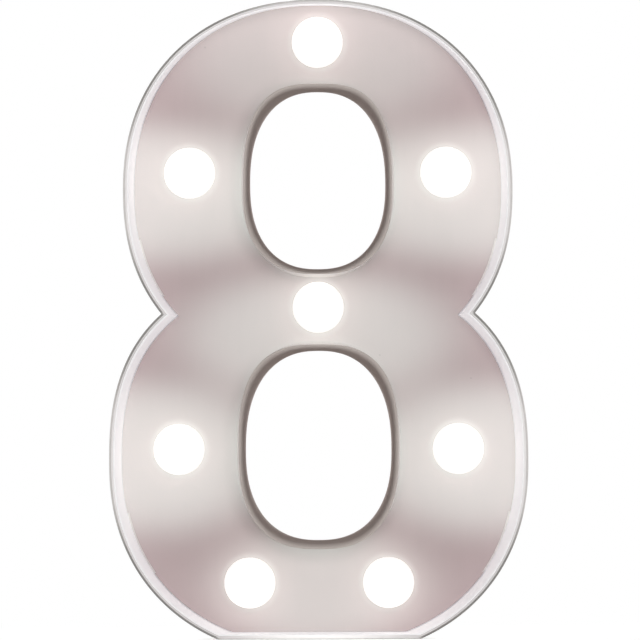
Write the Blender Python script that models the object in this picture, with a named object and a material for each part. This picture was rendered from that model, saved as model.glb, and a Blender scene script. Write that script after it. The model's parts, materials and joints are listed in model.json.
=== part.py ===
"""Light up marquee number eight, as the separate pieces that it is assembled from.

The numeral stands on its flat foot at z = 0, faces -Y and is symmetric about x = 0.
Sizes are metres. A depth is counted from the front lip of the rim towards the back.
"""

import math
from collections import namedtuple

import bmesh
import bpy
from mathutils import Matrix, Vector

# Fits
GAP = 0.0003
OVERRUN = 0.002
UNION_OVERLAP = 0.0005
MERGE = 0.000001

# Numeral outline at the front lip, and how much the flat foot cuts off
UPPER_HALF_WIDTH = 0.0670
UPPER_RISE = 0.0655
UPPER_DROP = 0.0643
LOWER_HALF_WIDTH = 0.0721
LOWER_RISE = 0.0666
LOWER_DROP = 0.0673
FOOT_CUT = 0.0065
UPPER_POWERS = (2.2, 2.27)
LOWER_POWERS = (2.52, 2.21)

# Strokes over, between and under the counters
CROWN_STROKE = 0.0290
WAIST_STROKE = 0.0233
FOOT_STROKE = 0.0313

# Counter outlines at the front lip, and how they narrow towards the back
UPPER_COUNTER_LIFT = -0.0004
UPPER_COUNTER_HALF_WIDTH = 0.0258
UPPER_COUNTER_DROP = 0.0292
UPPER_COUNTER_BACK_LIFT = 0.0025
LOWER_COUNTER_LIFT = 0.0050
LOWER_COUNTER_RISE = 0.0358
LOWER_COUNTER_BACK_LIFT = -0.0009
COUNTER_TAPER = 0.0028
UPPER_COUNTER_POWERS = (2.89, 2.26)
LOWER_COUNTER_POWERS = (2.68, 2.62)
COUNTER_BACK_POWERS = (2.35, 2.37)

# Rim
RECESS = 0.020
LIP_THICKNESS = 0.0018
LIP_ROUNDING = 0.0005
BACK_DRAFT = 0.0012
BACK_ROUNDING = 0.0004
LEDGE_WIDTH = 0.0022
LEDGE_THICKNESS = 0.0020
RIM_WALL = 0.0026
COVER_REBATE_WALL = 0.0013
CROWN_BAND = 0.0018
UPPER_SIDE_BAND = 0.0038
WAIST_BAND = 0.0036
LOWER_SIDE_BAND = 0.0043
KEEL_BAND = 0.0039
FOOT_BAND = 0.0023

# Face panel
FACE_THICKNESS = 0.0018
LOCATING_STEP = 0.0006
UPPER_STEP_START = 0.0165
UPPER_STEP_END = 0.0365
LOWER_STEP_START = 0.0169
LOWER_STEP_END = 0.0382
POST_RADIUS = 0.0030
POST_BORE_RADIUS = 0.0013

# Places of the posts for the back cover: degrees round a loop, and a share of the stroke
UPPER_POST_DEGREES = 47
UPPER_POST_SHARE = 0.68
LOWER_POST_DEGREES = -45
LOWER_POST_SHARE = 0.78
WAIST_POST_SHARE = 0.67

# Counter sleeves
SLEEVE_WALL = 0.0016
SLEEVE_SHOULDER = 0.0008
LUG_WIDTH = 0.0060
LUG_REACH = 0.0010
LUG_THICKNESS = 0.0018

# Bulbs: cap, socket and lamp
GLOBE_RADIUS = 0.00875
CAP_WALL = 0.0010
NECK_RADIUS = 0.0060
FLANGE_WIDTH = 0.0014
FLANGE_THICKNESS = 0.0010
SOCKET_WALL = 0.0016
SOCKET_DEPTH = 0.0028
SOCKET_FLOOR = 0.0010
LAMP_RADIUS = 0.0025
LAMP_FLANGE_WIDTH = 0.0004
LAMP_FLANGE_THICKNESS = 0.0010
LAMP_HEIGHT = 0.0086
LEG_SPACING = 0.00254
LEG_SIDE = 0.0005
LEG_LENGTH = 0.0022

# Bulb places, as shares of the stroke's width or of the counter's half width
TOP_BULB_SHARE = 0.53
WAIST_BULB_SHARE = 0.54
UPPER_SIDE_BULB_SHARE = 0.49
LOWER_SIDE_BULB_SHARE = 0.51
UPPER_SIDE_BULB_RISE_SHARE = 0.095
LOWER_SIDE_BULB_RISE_SHARE = 0.073
BOTTOM_BULB_SPREAD_SHARE = 0.866
BOTTOM_BULB_HEIGHT_SHARE = 0.618

# Cells, battery box and door
CELL_RADIUS = 0.00725
CELL_LENGTH = 0.0495
CELL_NUB_RADIUS = 0.0027
CELL_NUB_LENGTH = 0.0010
CELL_EDGE = 0.0006
BOX_CLEARANCE = 0.0005
BOX_FLOOR = 0.0010
BOX_WALL = 0.0014
BOX_MARGIN = 0.0004
BOX_SIDE_ROOM = 0.0073
BOX_DROP = 0.0018
DOOR_SEAT = 0.0008
DOOR_GAP = 0.0004
DOOR_HEADROOM = 0.0004
DOOR_PIN_RADIUS = 0.0007
DOOR_PIN_LENGTH = 0.0012
DOOR_TAIL = 0.0028
BOSS_RADIUS = 0.0028
BOSS_LENGTH = 0.0080
BOSS_BORE_RADIUS = 0.00135

# Contacts
PLATE_THICKNESS = 0.0004
PLATE_WIDTH = 0.0090
SPRING_LENGTH = 0.0046
SPRING_RADIUS = 0.0032
SPRING_WIRE_RADIUS = 0.00025
SPRING_TURNS = 4

# Back cover, its screws and the keyhole
COVER_THICKNESS = 0.0022
SCREW_RADIUS = 0.0010
SCREW_LENGTH = 0.0080
SCREW_HEAD_RADIUS = 0.0024
SCREW_HEAD_HEIGHT = 0.0010
SCREW_HOLE_RADIUS = 0.0014
SCREW_SLOT = 0.0005
KEYHOLE_RADIUS = 0.0040
KEYHOLE_SLOT_RADIUS = 0.0021
KEYHOLE_RISE = 0.0060
KEYHOLE_MARGIN = 0.0050

# Slide switch
SWITCH_LENGTH = 0.0120
SWITCH_HEIGHT = 0.0060
SWITCH_DEPTH = 0.0050
SWITCH_SHARE = 0.46
KNOB_LENGTH = 0.0034
KNOB_HEIGHT = 0.0030
KNOB_SINK = 0.0010
KNOB_TRAVEL = 0.0032
SWITCH_WELL_MARGIN = 0.0016
SWITCH_WELL_DEPTH = 0.0008
PIN_SPACING = 0.0030
PIN_SIDE = 0.0008
PIN_LENGTH = 0.0030

# Resistor and leads
RESISTOR_RADIUS = 0.0012
RESISTOR_LENGTH = 0.0064
RESISTOR_WAIST = 0.0002
RESISTOR_PIN_RADIUS = 0.0003
RESISTOR_PIN_LENGTH = 0.0040
LEAD_RADIUS = 0.0006
LEAD_STUB = 0.0020

# Bends of the lamp leads between two bulbs: degrees round a loop, and a share of the stroke
UPPER_BEND_DEGREES = 47
UPPER_BEND_SHARE = 0.48
LOWER_BEND_DEGREES = -40
LOWER_BEND_SHARE = 0.50
CROSSING_DEGREES = 52
CROSSING_SHARE = 0.30

# Bends of the other leads, as shares of the run between their ends in X, Y and Z
BATTERY_RED_SHARES = ((0.14, 0, 0.45), (0.28, 0, 0.47), (0.46, 0, 0.68), (0.8, 1, 0.95))
BATTERY_BLACK_SHARES = ((0.3, 0, 0.5),)
STRAIGHT_SHARES = ()

# Numbers of points
OUTLINE_STEPS = (20, 17)
COUNTER_POINTS = 44
HOLE_POINTS = 16
GLOBE_STEPS = 6
GLOBE_INNER_STEPS = 3
GLOBE_SIDES = 16
ROUND_SIDES = 12
LAMP_SIDES = 10
LAMP_STEPS = 2
LEAD_STEPS = 3
CURL_POINTS = 10
SHARP_DEGREES = 35

# Levels of the loops and counters, from the foot upwards
LOWER_LEVEL = LOWER_DROP - FOOT_CUT
LOWER_COUNTER_LEVEL = LOWER_LEVEL + LOWER_COUNTER_LIFT
LOWER_COUNTER_DROP = LOWER_COUNTER_LEVEL - FOOT_STROKE
UPPER_COUNTER_LEVEL = LOWER_COUNTER_LEVEL + LOWER_COUNTER_RISE + WAIST_STROKE + UPPER_COUNTER_DROP
UPPER_LEVEL = UPPER_COUNTER_LEVEL - UPPER_COUNTER_LIFT
UPPER_COUNTER_RISE = UPPER_LEVEL + UPPER_RISE - CROWN_STROKE - UPPER_COUNTER_LEVEL

# The lower loop's stroke has room for the battery box, between the counter and the rim
BOX_HALF_WIDTH = CELL_RADIUS * 2 + GAP * 2
LOWER_STROKE = BOX_MARGIN + (BOX_WALL + BOX_HALF_WIDTH) * 2 + BOX_SIDE_ROOM + RIM_WALL + BACK_DRAFT
LOWER_COUNTER_HALF_WIDTH = LOWER_HALF_WIDTH - LOWER_STROKE

# Places that follow from the sizes above
FACE_BACK = RECESS + FACE_THICKNESS
SOCKET_BACK = FACE_BACK + GAP + SOCKET_DEPTH
LEG_TIP = SOCKET_BACK + LEG_LENGTH
BOX_FRONT = LEG_TIP + BOX_CLEARANCE
CELL_DEPTH = BOX_FRONT + BOX_FLOOR + GAP + CELL_RADIUS
COVER_FRONT = CELL_DEPTH + CELL_RADIUS + DOOR_HEADROOM
DEPTH = COVER_FRONT + COVER_THICKNESS
LEAD_DEPTH = SOCKET_BACK + GAP + LEAD_RADIUS

# Turns a piece that was turned about Z so that it looks out of the front
FRONTWARD = (math.pi / 2, 0, 0)

Inset = namedtuple("Inset", "crown upper_side waist lower_side keel foot")
FACE_BANDS = Inset(
    CROWN_BAND, UPPER_SIDE_BAND, WAIST_BAND, LOWER_SIDE_BAND, KEEL_BAND, FOOT_BAND
)


class Oval:
    """A superellipse whose rise above its widest level and drop below it differ."""

    def __init__(self, level, half_width, rise, drop, powers):
        self.level = level
        self.half_width = half_width
        self.rise = rise
        self.drop = drop
        self.powers = powers

    def grown(self, margin):
        return Oval(
            self.level,
            self.half_width + margin,
            self.rise + margin,
            self.drop + margin,
            self.powers,
        )

    def blended(self, other, share):
        def mix(here, there):
            return here + (there - here) * share

        return Oval(
            mix(self.level, other.level),
            mix(self.half_width, other.half_width),
            mix(self.rise, other.rise),
            mix(self.drop, other.drop),
            tuple(map(mix, self.powers, other.powers)),
        )

    def point(self, angle):
        across, up = math.cos(angle), math.sin(angle)
        height, power = (self.rise, self.powers[0]) if up >= 0 else (self.drop, self.powers[1])
        x = self.half_width * math.copysign(abs(across) ** (2 / power), across)
        z = height * math.copysign(abs(up) ** (2 / power), up)
        return Vector((x, self.level + z))

    def angle_at(self, z):
        rise = z - self.level
        height, power = (self.rise, self.powers[0]) if rise >= 0 else (self.drop, self.powers[1])
        share = min(abs(rise) / height, 1)
        return math.copysign(math.asin(share ** (power / 2)), rise)

    def half_width_at(self, z):
        return self.point(self.angle_at(z)).x

    def loop(self, count):
        return [self.point(2 * math.pi * i / count) for i in range(count)]


UPPER_LIP = Oval(
    UPPER_COUNTER_LEVEL,
    UPPER_COUNTER_HALF_WIDTH,
    UPPER_COUNTER_RISE,
    UPPER_COUNTER_DROP,
    UPPER_COUNTER_POWERS,
)
LOWER_LIP = Oval(
    LOWER_COUNTER_LEVEL,
    LOWER_COUNTER_HALF_WIDTH,
    LOWER_COUNTER_RISE,
    LOWER_COUNTER_DROP,
    LOWER_COUNTER_POWERS,
)


def even(inset, foot=None):
    """The same inset all round, apart from the foot."""
    return Inset(inset, inset, inset, inset, inset, inset if foot is None else foot)


def widened(inset, margin):
    return Inset(*(size + margin for size in inset))


def loops_of(inset):
    """The upper and the lower oval of the numeral, drawn in by an inset."""
    upper = Oval(
        UPPER_LEVEL,
        UPPER_HALF_WIDTH - inset.upper_side,
        UPPER_RISE - inset.crown,
        UPPER_DROP - inset.waist,
        UPPER_POWERS,
    )
    lower = Oval(
        LOWER_LEVEL,
        LOWER_HALF_WIDTH - inset.lower_side,
        LOWER_RISE - inset.waist,
        LOWER_DROP - inset.keel,
        LOWER_POWERS,
    )
    return upper, lower


def neck_height(upper, lower):
    """The height at which the two ovals are equally wide, between their widest levels."""
    low, high = lower.level, upper.level
    while high - low > MERGE:
        middle = (low + high) / 2
        if upper.half_width_at(middle) > lower.half_width_at(middle):
            high = middle
        else:
            low = middle
    return (low + high) / 2


def steps_between(start, end, count):
    return [start + (end - start) * i / count for i in range(count + 1)]


def numeral(inset):
    """The closed outline of the eight, clockwise from its top as seen from the front."""
    upper, lower = loops_of(inset)
    neck = neck_height(upper, lower)
    upper_steps, lower_steps = OUTLINE_STEPS
    above = steps_between(math.pi / 2, upper.angle_at(neck), upper_steps)
    below = steps_between(lower.angle_at(neck), lower.angle_at(inset.foot), lower_steps)
    right = [upper.point(angle) for angle in above]
    right += [lower.point(angle) for angle in below[1:]]
    right[0].x = 0
    left = [Vector((-point.x, point.y)) for point in reversed(right[1:])]
    return right + left


STEP_BORDERS = (
    UPPER_LEVEL - UPPER_STEP_START,
    UPPER_LEVEL - UPPER_STEP_END,
    LOWER_LEVEL - LOWER_STEP_START,
    LOWER_LEVEL - LOWER_STEP_END,
)


def in_step_zone(z):
    upper_top, upper_bottom, lower_top, lower_bottom = STEP_BORDERS
    return upper_bottom < z < upper_top or lower_bottom < z < lower_top


def stepped(outline):
    """The outline drawn in by the locating step at the heights that hold one."""
    result = []
    for here, there in zip(outline, outline[1:] + outline[:1]):
        shares = [0, 1]
        for border in STEP_BORDERS:
            if min(here.y, there.y) < border < max(here.y, there.y):
                shares.append((border - here.y) / (there.y - here.y))
        shares.sort()
        stops = [here.lerp(there, share) for share in shares]
        for start, end in zip(stops, stops[1:]):
            drawn_in = LOCATING_STEP if in_step_zone((start.y + end.y) / 2) else 0
            for point in (start, end):
                moved = Vector((point.x - math.copysign(drawn_in, point.x), point.y))
                if not result or (moved - result[-1]).length > MERGE:
                    result.append(moved)
    if (result[0] - result[-1]).length < MERGE:
        result.pop()
    return result


def counter_back(lip, lift):
    """The counter's outline at the back, narrower than its lip."""
    return Oval(
        lip.level + lift,
        lip.half_width - COUNTER_TAPER,
        lip.rise - COUNTER_TAPER - lift,
        lip.drop - COUNTER_TAPER + lift,
        COUNTER_BACK_POWERS,
    )


def counter_bore(lip, lift, depth):
    """The inner surface of a counter's sleeve at a depth."""
    front = lip.grown(-LIP_THICKNESS)
    back = counter_back(lip, lift)
    return front.blended(back, depth / DEPTH)


def circle(x, z, radius, count=HOLE_POINTS, start=0, turn=2 * math.pi):
    """Points along an arc, or all the way round."""
    ends = 0 if turn == 2 * math.pi else 1
    angles = [start + turn * i / (count - ends) for i in range(count)]
    return [Vector((x + radius * math.cos(a), z + radius * math.sin(a))) for a in angles]


def rectangle(left, right, bottom, top):
    return [Vector(corner) for corner in ((left, bottom), (right, bottom), (right, top), (left, top))]


def y_of(depth):
    """Where a depth lies along Y: the middle of the object's depth is at y = 0."""
    return depth - DEPTH / 2


def material(name, colour, roughness, metallic=0.0):
    made = bpy.data.materials.new(name)
    made.use_nodes = True
    shader = made.node_tree.nodes["Principled BSDF"]
    shader.inputs["Base Color"].default_value = (*colour, 1)
    shader.inputs["Roughness"].default_value = roughness
    shader.inputs["Metallic"].default_value = metallic
    return made


def add(name, bm, finish, place=(0, 0, 0), turned_by=(0, 0, 0)):
    """Links the mesh as an object, shaded smooth apart from its sharp edges."""
    bmesh.ops.recalc_face_normals(bm, faces=bm.faces)
    mesh = bpy.data.meshes.new(name)
    bm.to_mesh(mesh)
    bm.free()
    mesh.shade_smooth()
    mesh.set_sharp_from_angle(angle=math.radians(SHARP_DEGREES))
    mesh.materials.append(finish)
    made = bpy.data.objects.new(name, mesh)
    made.location = place
    made.rotation_euler = turned_by
    bpy.context.scene.collection.objects.link(made)
    return made


def add_ring(bm, stations):
    """A closed band through matching loops, given as (outline, depth) all round its section."""
    rows = [
        [bm.verts.new((point.x, y_of(depth), point.y)) for point in outline]
        for outline, depth in stations
    ]
    for row, following in zip(rows, rows[1:] + rows[:1]):
        for i in range(len(row)):
            bm.faces.new((row[i - 1], row[i], following[i], following[i - 1]))


def add_plate(bm, outline, holes, front, back):
    """A flat plate with holes, from one depth to another."""
    sheet = bmesh.new()
    for loop in [outline, *holes]:
        corners = [sheet.verts.new((point.x, y_of(front), point.y)) for point in loop]
        for i, corner in enumerate(corners):
            sheet.edges.new((corners[i - 1], corner))
    bmesh.ops.triangle_fill(sheet, edges=sheet.edges[:], use_beauty=True, normal=(0, -1, 0))
    skin = bmesh.ops.extrude_face_region(sheet, geom=sheet.faces[:], use_keep_orig=True)
    moved = [item for item in skin["geom"] if isinstance(item, bmesh.types.BMVert)]
    bmesh.ops.translate(sheet, verts=moved, vec=(0, back - front, 0))
    flat = bpy.data.meshes.new("flat")
    sheet.to_mesh(flat)
    sheet.free()
    bm.from_mesh(flat)
    bpy.data.meshes.remove(flat)


def add_prism(bm, outline, left, right):
    """A prism along X whose outline is given in (depth, height) pairs."""
    ends = [
        [bm.verts.new((x, y_of(depth), z)) for depth, z in outline] for x in (left, right)
    ]
    bm.faces.new(ends[0])
    bm.faces.new(ends[1])
    for i in range(len(outline)):
        bm.faces.new((ends[0][i - 1], ends[0][i], ends[1][i], ends[1][i - 1]))


def add_box(bm, left, right, front, back, bottom, top):
    add_plate(bm, rectangle(left, right, bottom, top), [], front, back)


def add_turned(bm, profile, sides, place=Matrix(), closed=False):
    """A turned solid about its own Z axis, from (radius, height) pairs."""
    lathe = bmesh.new()
    corners = [lathe.verts.new((radius, 0, height)) for radius, height in profile]
    for here, there in zip(corners, corners[1:]):
        lathe.edges.new((here, there))
    if closed:
        lathe.edges.new((corners[-1], corners[0]))
    bmesh.ops.spin(
        lathe,
        geom=lathe.verts[:] + lathe.edges[:],
        axis=(0, 0, 1),
        cent=(0, 0, 0),
        angle=2 * math.pi,
        steps=sides,
    )
    bmesh.ops.remove_doubles(lathe, verts=lathe.verts, dist=MERGE)
    bmesh.ops.transform(lathe, matrix=place, verts=lathe.verts)
    round_piece = bpy.data.meshes.new("round")
    lathe.to_mesh(round_piece)
    lathe.free()
    bm.from_mesh(round_piece)
    bpy.data.meshes.remove(round_piece)


def facing_back(x, z, depth):
    """Places a piece that was turned about Z so that it looks out of the back."""
    return Matrix.Translation((x, y_of(depth), z)) @ Matrix.Rotation(-math.pi / 2, 4, "X")


def combine(target, bm, operation, name):
    """Adds a shape to an object or cuts it away, with a Boolean on a hidden object."""
    bmesh.ops.recalc_face_normals(bm, faces=bm.faces)
    mesh = bpy.data.meshes.new(name)
    bm.to_mesh(mesh)
    bm.free()
    helper = bpy.data.objects.new(name, mesh)
    helper.hide_render = True
    helper.display_type = "WIRE"
    bpy.context.scene.collection.objects.link(helper)
    boolean = target.modifiers.new(name, "BOOLEAN")
    boolean.operation = operation
    boolean.object = helper
    boolean.solver = "EXACT"


def mix(here, there, share):
    return here + (there - here) * share


def bulb_places():
    """Bulb centres along the lamp chain, from the upper right to the lower left."""
    upper, lower = loops_of(FACE_BANDS)
    upper_x = mix(UPPER_LIP.half_width, upper.half_width, UPPER_SIDE_BULB_SHARE)
    lower_x = mix(LOWER_LIP.half_width, lower.half_width, LOWER_SIDE_BULB_SHARE)
    upper_z = upper.level + upper.rise * UPPER_SIDE_BULB_RISE_SHARE
    lower_z = lower.level + lower.rise * LOWER_SIDE_BULB_RISE_SHARE
    top_z = mix(UPPER_LIP.level + UPPER_LIP.rise, upper.level + upper.rise, TOP_BULB_SHARE)
    waist_z = mix(
        LOWER_LIP.level + LOWER_LIP.rise, UPPER_LIP.level - UPPER_LIP.drop, WAIST_BULB_SHARE
    )
    bottom_x = LOWER_LIP.half_width * BOTTOM_BULB_SPREAD_SHARE
    bottom_z = (LOWER_LIP.level - LOWER_LIP.drop) * BOTTOM_BULB_HEIGHT_SHARE
    return [
        Vector((upper_x, upper_z)),
        Vector((0, top_z)),
        Vector((-upper_x, upper_z)),
        Vector((0, waist_z)),
        Vector((lower_x, lower_z)),
        Vector((bottom_x, bottom_z)),
        Vector((-bottom_x, bottom_z)),
        Vector((-lower_x, lower_z)),
    ]


def across_stroke(lip, loop, side, degrees, share):
    """A point between a counter's lip and the face's edge."""
    angle = math.radians(degrees)
    found = lip.point(angle).lerp(loop.point(angle), share)
    return Vector((side * found.x, found.y))


def on_upper(side, degrees, share):
    return across_stroke(UPPER_LIP, loops_of(FACE_BANDS)[0], side, degrees, share)


def on_lower(side, degrees, share):
    return across_stroke(LOWER_LIP, loops_of(FACE_BANDS)[1], side, degrees, share)


def post_places():
    upper, lower = loops_of(even(0))
    neck = neck_height(upper, lower)
    reach = lower.half_width_at(neck) * WAIST_POST_SHARE
    places = []
    for side in (1, -1):
        places.append(on_upper(side, UPPER_POST_DEGREES, UPPER_POST_SHARE))
        places.append(Vector((side * reach, neck)))
        places.append(on_lower(side, LOWER_POST_DEGREES, LOWER_POST_SHARE))
    return places


def box_frame():
    """The battery box: the middle and half sizes of its inside, in X and Z."""
    spare = GAP * 6 + PLATE_THICKNESS * 2 + SPRING_LENGTH
    half_height = (CELL_LENGTH + CELL_NUB_LENGTH + spare) / 2
    middle = LOWER_LIP.half_width + BOX_MARGIN + BOX_WALL + BOX_HALF_WIDTH
    return Vector((middle, LOWER_LIP.level - BOX_DROP)), BOX_HALF_WIDTH, half_height


def build_outer_rim(finish):
    ledge_front = FACE_BACK + GAP
    ledge_back = ledge_front + LEDGE_THICKNESS
    rebate = COVER_FRONT - GAP
    wall_inset = BACK_DRAFT + RIM_WALL
    cover_inset = BACK_DRAFT + COVER_REBATE_WALL
    half_draft = BACK_DRAFT * RECESS / DEPTH
    stations = [
        (numeral(even(0)), LIP_ROUNDING),
        (numeral(even(LIP_ROUNDING)), 0),
        (numeral(even(LIP_THICKNESS - LIP_ROUNDING)), 0),
        (numeral(even(LIP_THICKNESS)), LIP_ROUNDING),
        (numeral(FACE_BANDS), ledge_front),
        (numeral(widened(FACE_BANDS, LEDGE_WIDTH)), ledge_front),
        (numeral(widened(FACE_BANDS, LEDGE_WIDTH)), ledge_back),
        (numeral(even(half_draft + RIM_WALL)), ledge_back),
        (numeral(even(wall_inset)), rebate),
        (numeral(even(cover_inset)), rebate),
        (numeral(even(cover_inset)), DEPTH),
        (numeral(even(BACK_DRAFT + BACK_ROUNDING, BACK_ROUNDING)), DEPTH),
        (numeral(even(BACK_DRAFT, 0)), DEPTH - BACK_ROUNDING),
    ]
    bm = bmesh.new()
    add_ring(bm, stations)
    add("outer_rim", bm, finish)


def build_face_panel(finish):
    counters = [
        counter_bore(lip, lift, RECESS).grown(SLEEVE_WALL + GAP).loop(COUNTER_POINTS)
        for lip, lift in counters_of()
    ]
    sockets = [circle(place.x, place.y, NECK_RADIUS + GAP) for place in bulb_places()]
    outline = stepped(numeral(widened(FACE_BANDS, GAP)))
    bm = bmesh.new()
    add_plate(bm, outline, counters + sockets, RECESS, FACE_BACK)
    panel = add("face_panel", bm, finish)
    posts = bmesh.new()
    top = COVER_FRONT - GAP
    length = top - FACE_BACK
    profile = [
        (0, -length - UNION_OVERLAP),
        (POST_RADIUS, -length - UNION_OVERLAP),
        (POST_RADIUS, 0),
        (POST_BORE_RADIUS, 0),
        (POST_BORE_RADIUS, -length + UNION_OVERLAP),
        (0, -length + UNION_OVERLAP),
    ]
    for place in post_places():
        add_turned(posts, profile, ROUND_SIDES, facing_back(place.x, place.y, top))
    combine(panel, posts, "UNION", "face_panel_posts")


def counters_of():
    return ((UPPER_LIP, UPPER_COUNTER_BACK_LIFT), (LOWER_LIP, LOWER_COUNTER_BACK_LIFT))


def build_sleeve(name, lip, lift, finish):
    def bore(depth, margin=0.0):
        return counter_bore(lip, lift, depth).grown(margin).loop(COUNTER_POINTS)

    seat = RECESS - GAP
    crest = lip.grown(-LIP_ROUNDING).loop(COUNTER_POINTS)
    inner_crest = lip.grown(LIP_ROUNDING - LIP_THICKNESS).loop(COUNTER_POINTS)
    stations = [
        (lip.loop(COUNTER_POINTS), LIP_ROUNDING),
        (crest, 0),
        (inner_crest, 0),
        (bore(LIP_ROUNDING), LIP_ROUNDING),
        (bore(DEPTH), DEPTH),
        (bore(DEPTH, SLEEVE_WALL), DEPTH),
        (bore(seat, SLEEVE_WALL), seat),
        (bore(seat, SLEEVE_WALL + SLEEVE_SHOULDER), seat),
    ]
    bm = bmesh.new()
    add_ring(bm, stations)
    sleeve = add(name, bm, finish)
    start = FACE_BACK + GAP
    wall = counter_bore(lip, lift, start).grown(SLEEVE_WALL)
    lugs = bmesh.new()
    depths = (start, start + LUG_THICKNESS)
    level = wall.level
    half = LUG_WIDTH / 2
    for side in (-1, 1):
        reach = wall.half_width
        ends = sorted((side * (reach - UNION_OVERLAP), side * (reach + LUG_REACH)))
        add_box(lugs, *ends, *depths, level - half, level + half)
        end = level + (wall.rise if side > 0 else -wall.drop)
        ends = sorted((end - side * UNION_OVERLAP, end + side * LUG_REACH))
        add_box(lugs, -half, half, *depths, *ends)
    combine(sleeve, lugs, "UNION", name + "_lugs")


def build_bulbs(frosted, plastic, epoxy):
    """A cap, a socket and a lamp at each place, each turned to face the front."""
    socket_floor = SOCKET_BACK - SOCKET_FLOOR
    tail = socket_floor - GAP - RECESS
    collar = GAP + FLANGE_THICKNESS
    centre = collar + math.sqrt(GLOBE_RADIUS**2 - NECK_RADIUS**2)
    start = -math.asin((centre - collar) / GLOBE_RADIUS)
    outside = [
        (
            GLOBE_RADIUS * math.cos(angle),
            centre + GLOBE_RADIUS * math.sin(angle),
        )
        for angle in steps_between(start, math.pi / 2, GLOBE_STEPS)
    ]
    inner_radius = GLOBE_RADIUS - CAP_WALL
    inner_neck = NECK_RADIUS - CAP_WALL
    inner_start = -math.acos(inner_neck / inner_radius)
    inside = [
        (
            inner_radius * math.cos(angle),
            centre + inner_radius * math.sin(angle),
        )
        for angle in steps_between(inner_start, math.pi / 2, GLOBE_INNER_STEPS)
    ]
    neck = [
        (inner_neck, -tail),
        (NECK_RADIUS, -tail),
        (NECK_RADIUS, GAP),
        (NECK_RADIUS + FLANGE_WIDTH, GAP),
        (NECK_RADIUS + FLANGE_WIDTH, collar),
    ]
    cap = [
        (0, inside[-1][1]),
        *inside[-2::-1],
        *neck,
        *outside[:-1],
        (0, outside[-1][1]),
    ]
    depth = SOCKET_DEPTH
    grip = NECK_RADIUS + GAP
    feed = LEG_SPACING
    socket = [
        (feed, -depth),
        (grip + SOCKET_WALL, -depth),
        (grip + SOCKET_WALL, 0),
        (grip, 0),
        (grip, SOCKET_FLOOR - depth),
        (feed, SOCKET_FLOOR - depth),
    ]
    flange = LAMP_RADIUS + LAMP_FLANGE_WIDTH
    shaft = LAMP_HEIGHT - LAMP_RADIUS
    dome = [
        (LAMP_RADIUS * math.cos(angle), shaft + LAMP_RADIUS * math.sin(angle))
        for angle in steps_between(0, math.pi / 2, LAMP_STEPS)
    ]
    lamp = [
        (0, 0),
        (flange, 0),
        (flange, LAMP_FLANGE_THICKNESS),
        (LAMP_RADIUS, LAMP_FLANGE_THICKNESS),
        *dome[:-1],
        (0, LAMP_HEIGHT),
    ]
    lamp_base = socket_floor - GAP
    route = lead_route()
    for number, place in enumerate(bulb_places(), 1):
        bm = bmesh.new()
        add_turned(bm, cap, GLOBE_SIDES)
        add(f"bulb_cap_{number}", bm, frosted, (place.x, y_of(RECESS), place.y), FRONTWARD)
        bm = bmesh.new()
        add_turned(bm, socket, ROUND_SIDES, closed=True)
        origin = (place.x, y_of(FACE_BACK + GAP), place.y)
        add(f"lamp_socket_{number}", bm, plastic, origin, FRONTWARD)
        bm = bmesh.new()
        add_turned(bm, lamp, LAMP_SIDES)
        origin = (place.x, y_of(lamp_base), place.y)
        made = add(f"led_lamp_{number}", bm, epoxy, origin, FRONTWARD)
        legs = bmesh.new()
        across = route.normal_at(number - 1)
        half = LEG_SIDE / 2
        depths = (lamp_base - UNION_OVERLAP, LEG_TIP)
        for side in (1, -1):
            x = place.x + across.x * side * LEG_SPACING / 2
            z = place.y + across.y * side * LEG_SPACING / 2
            add_box(legs, x - half, x + half, *depths, z - half, z + half)
        bmesh.ops.transform(legs, matrix=place_of(made).inverted(), verts=legs.verts)
        combine(made, legs, "UNION", f"led_legs_{number}")
        bpy.data.objects[f"led_legs_{number}"].parent = made


def place_of(made):
    return Matrix.Translation(made.location) @ made.rotation_euler.to_matrix().to_4x4()


def smooth(points, steps):
    """A Catmull-Rom curve through the points."""
    result = []
    last = len(points) - 1
    for i in range(last):
        before, here = points[max(i - 1, 0)], points[i]
        there, after = points[i + 1], points[min(i + 2, last)]
        for step in range(steps):
            t = step / steps
            result.append(
                (
                    here * 2
                    + (there - before) * t
                    + (before * 2 - here * 5 + there * 4 - after) * t**2
                    + (here * 3 - before - there * 3 + after) * t**3
                )
                / 2
            )
    result.append(points[-1])
    return result


class Route:
    """The smooth middle line of the lamp chain, from lamp to lamp."""

    def __init__(self, points, lamps, steps):
        self.points = smooth(points, steps)
        self.lamps = [points.index(lamp) * steps for lamp in lamps]

    def normal(self, i):
        ahead = self.points[min(i + 1, len(self.points) - 1)]
        behind = self.points[max(i - 1, 0)]
        along = (ahead - behind).normalized()
        return Vector((-along.y, along.x))

    def normal_at(self, lamp):
        return self.normal(self.lamps[lamp])


def lead_route():
    lamps = bulb_places()
    points = [
        lamps[0],
        on_upper(1, UPPER_BEND_DEGREES, UPPER_BEND_SHARE),
        lamps[1],
        on_upper(-1, UPPER_BEND_DEGREES, UPPER_BEND_SHARE),
        lamps[2],
        on_upper(-1, -CROSSING_DEGREES, CROSSING_SHARE),
        lamps[3],
        on_lower(1, CROSSING_DEGREES, CROSSING_SHARE),
        lamps[4],
        on_lower(1, LOWER_BEND_DEGREES, LOWER_BEND_SHARE),
        lamps[5],
        lamps[6],
        on_lower(-1, LOWER_BEND_DEGREES, LOWER_BEND_SHARE),
        lamps[7],
    ]
    return Route(points, lamps, LEAD_STEPS)


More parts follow.
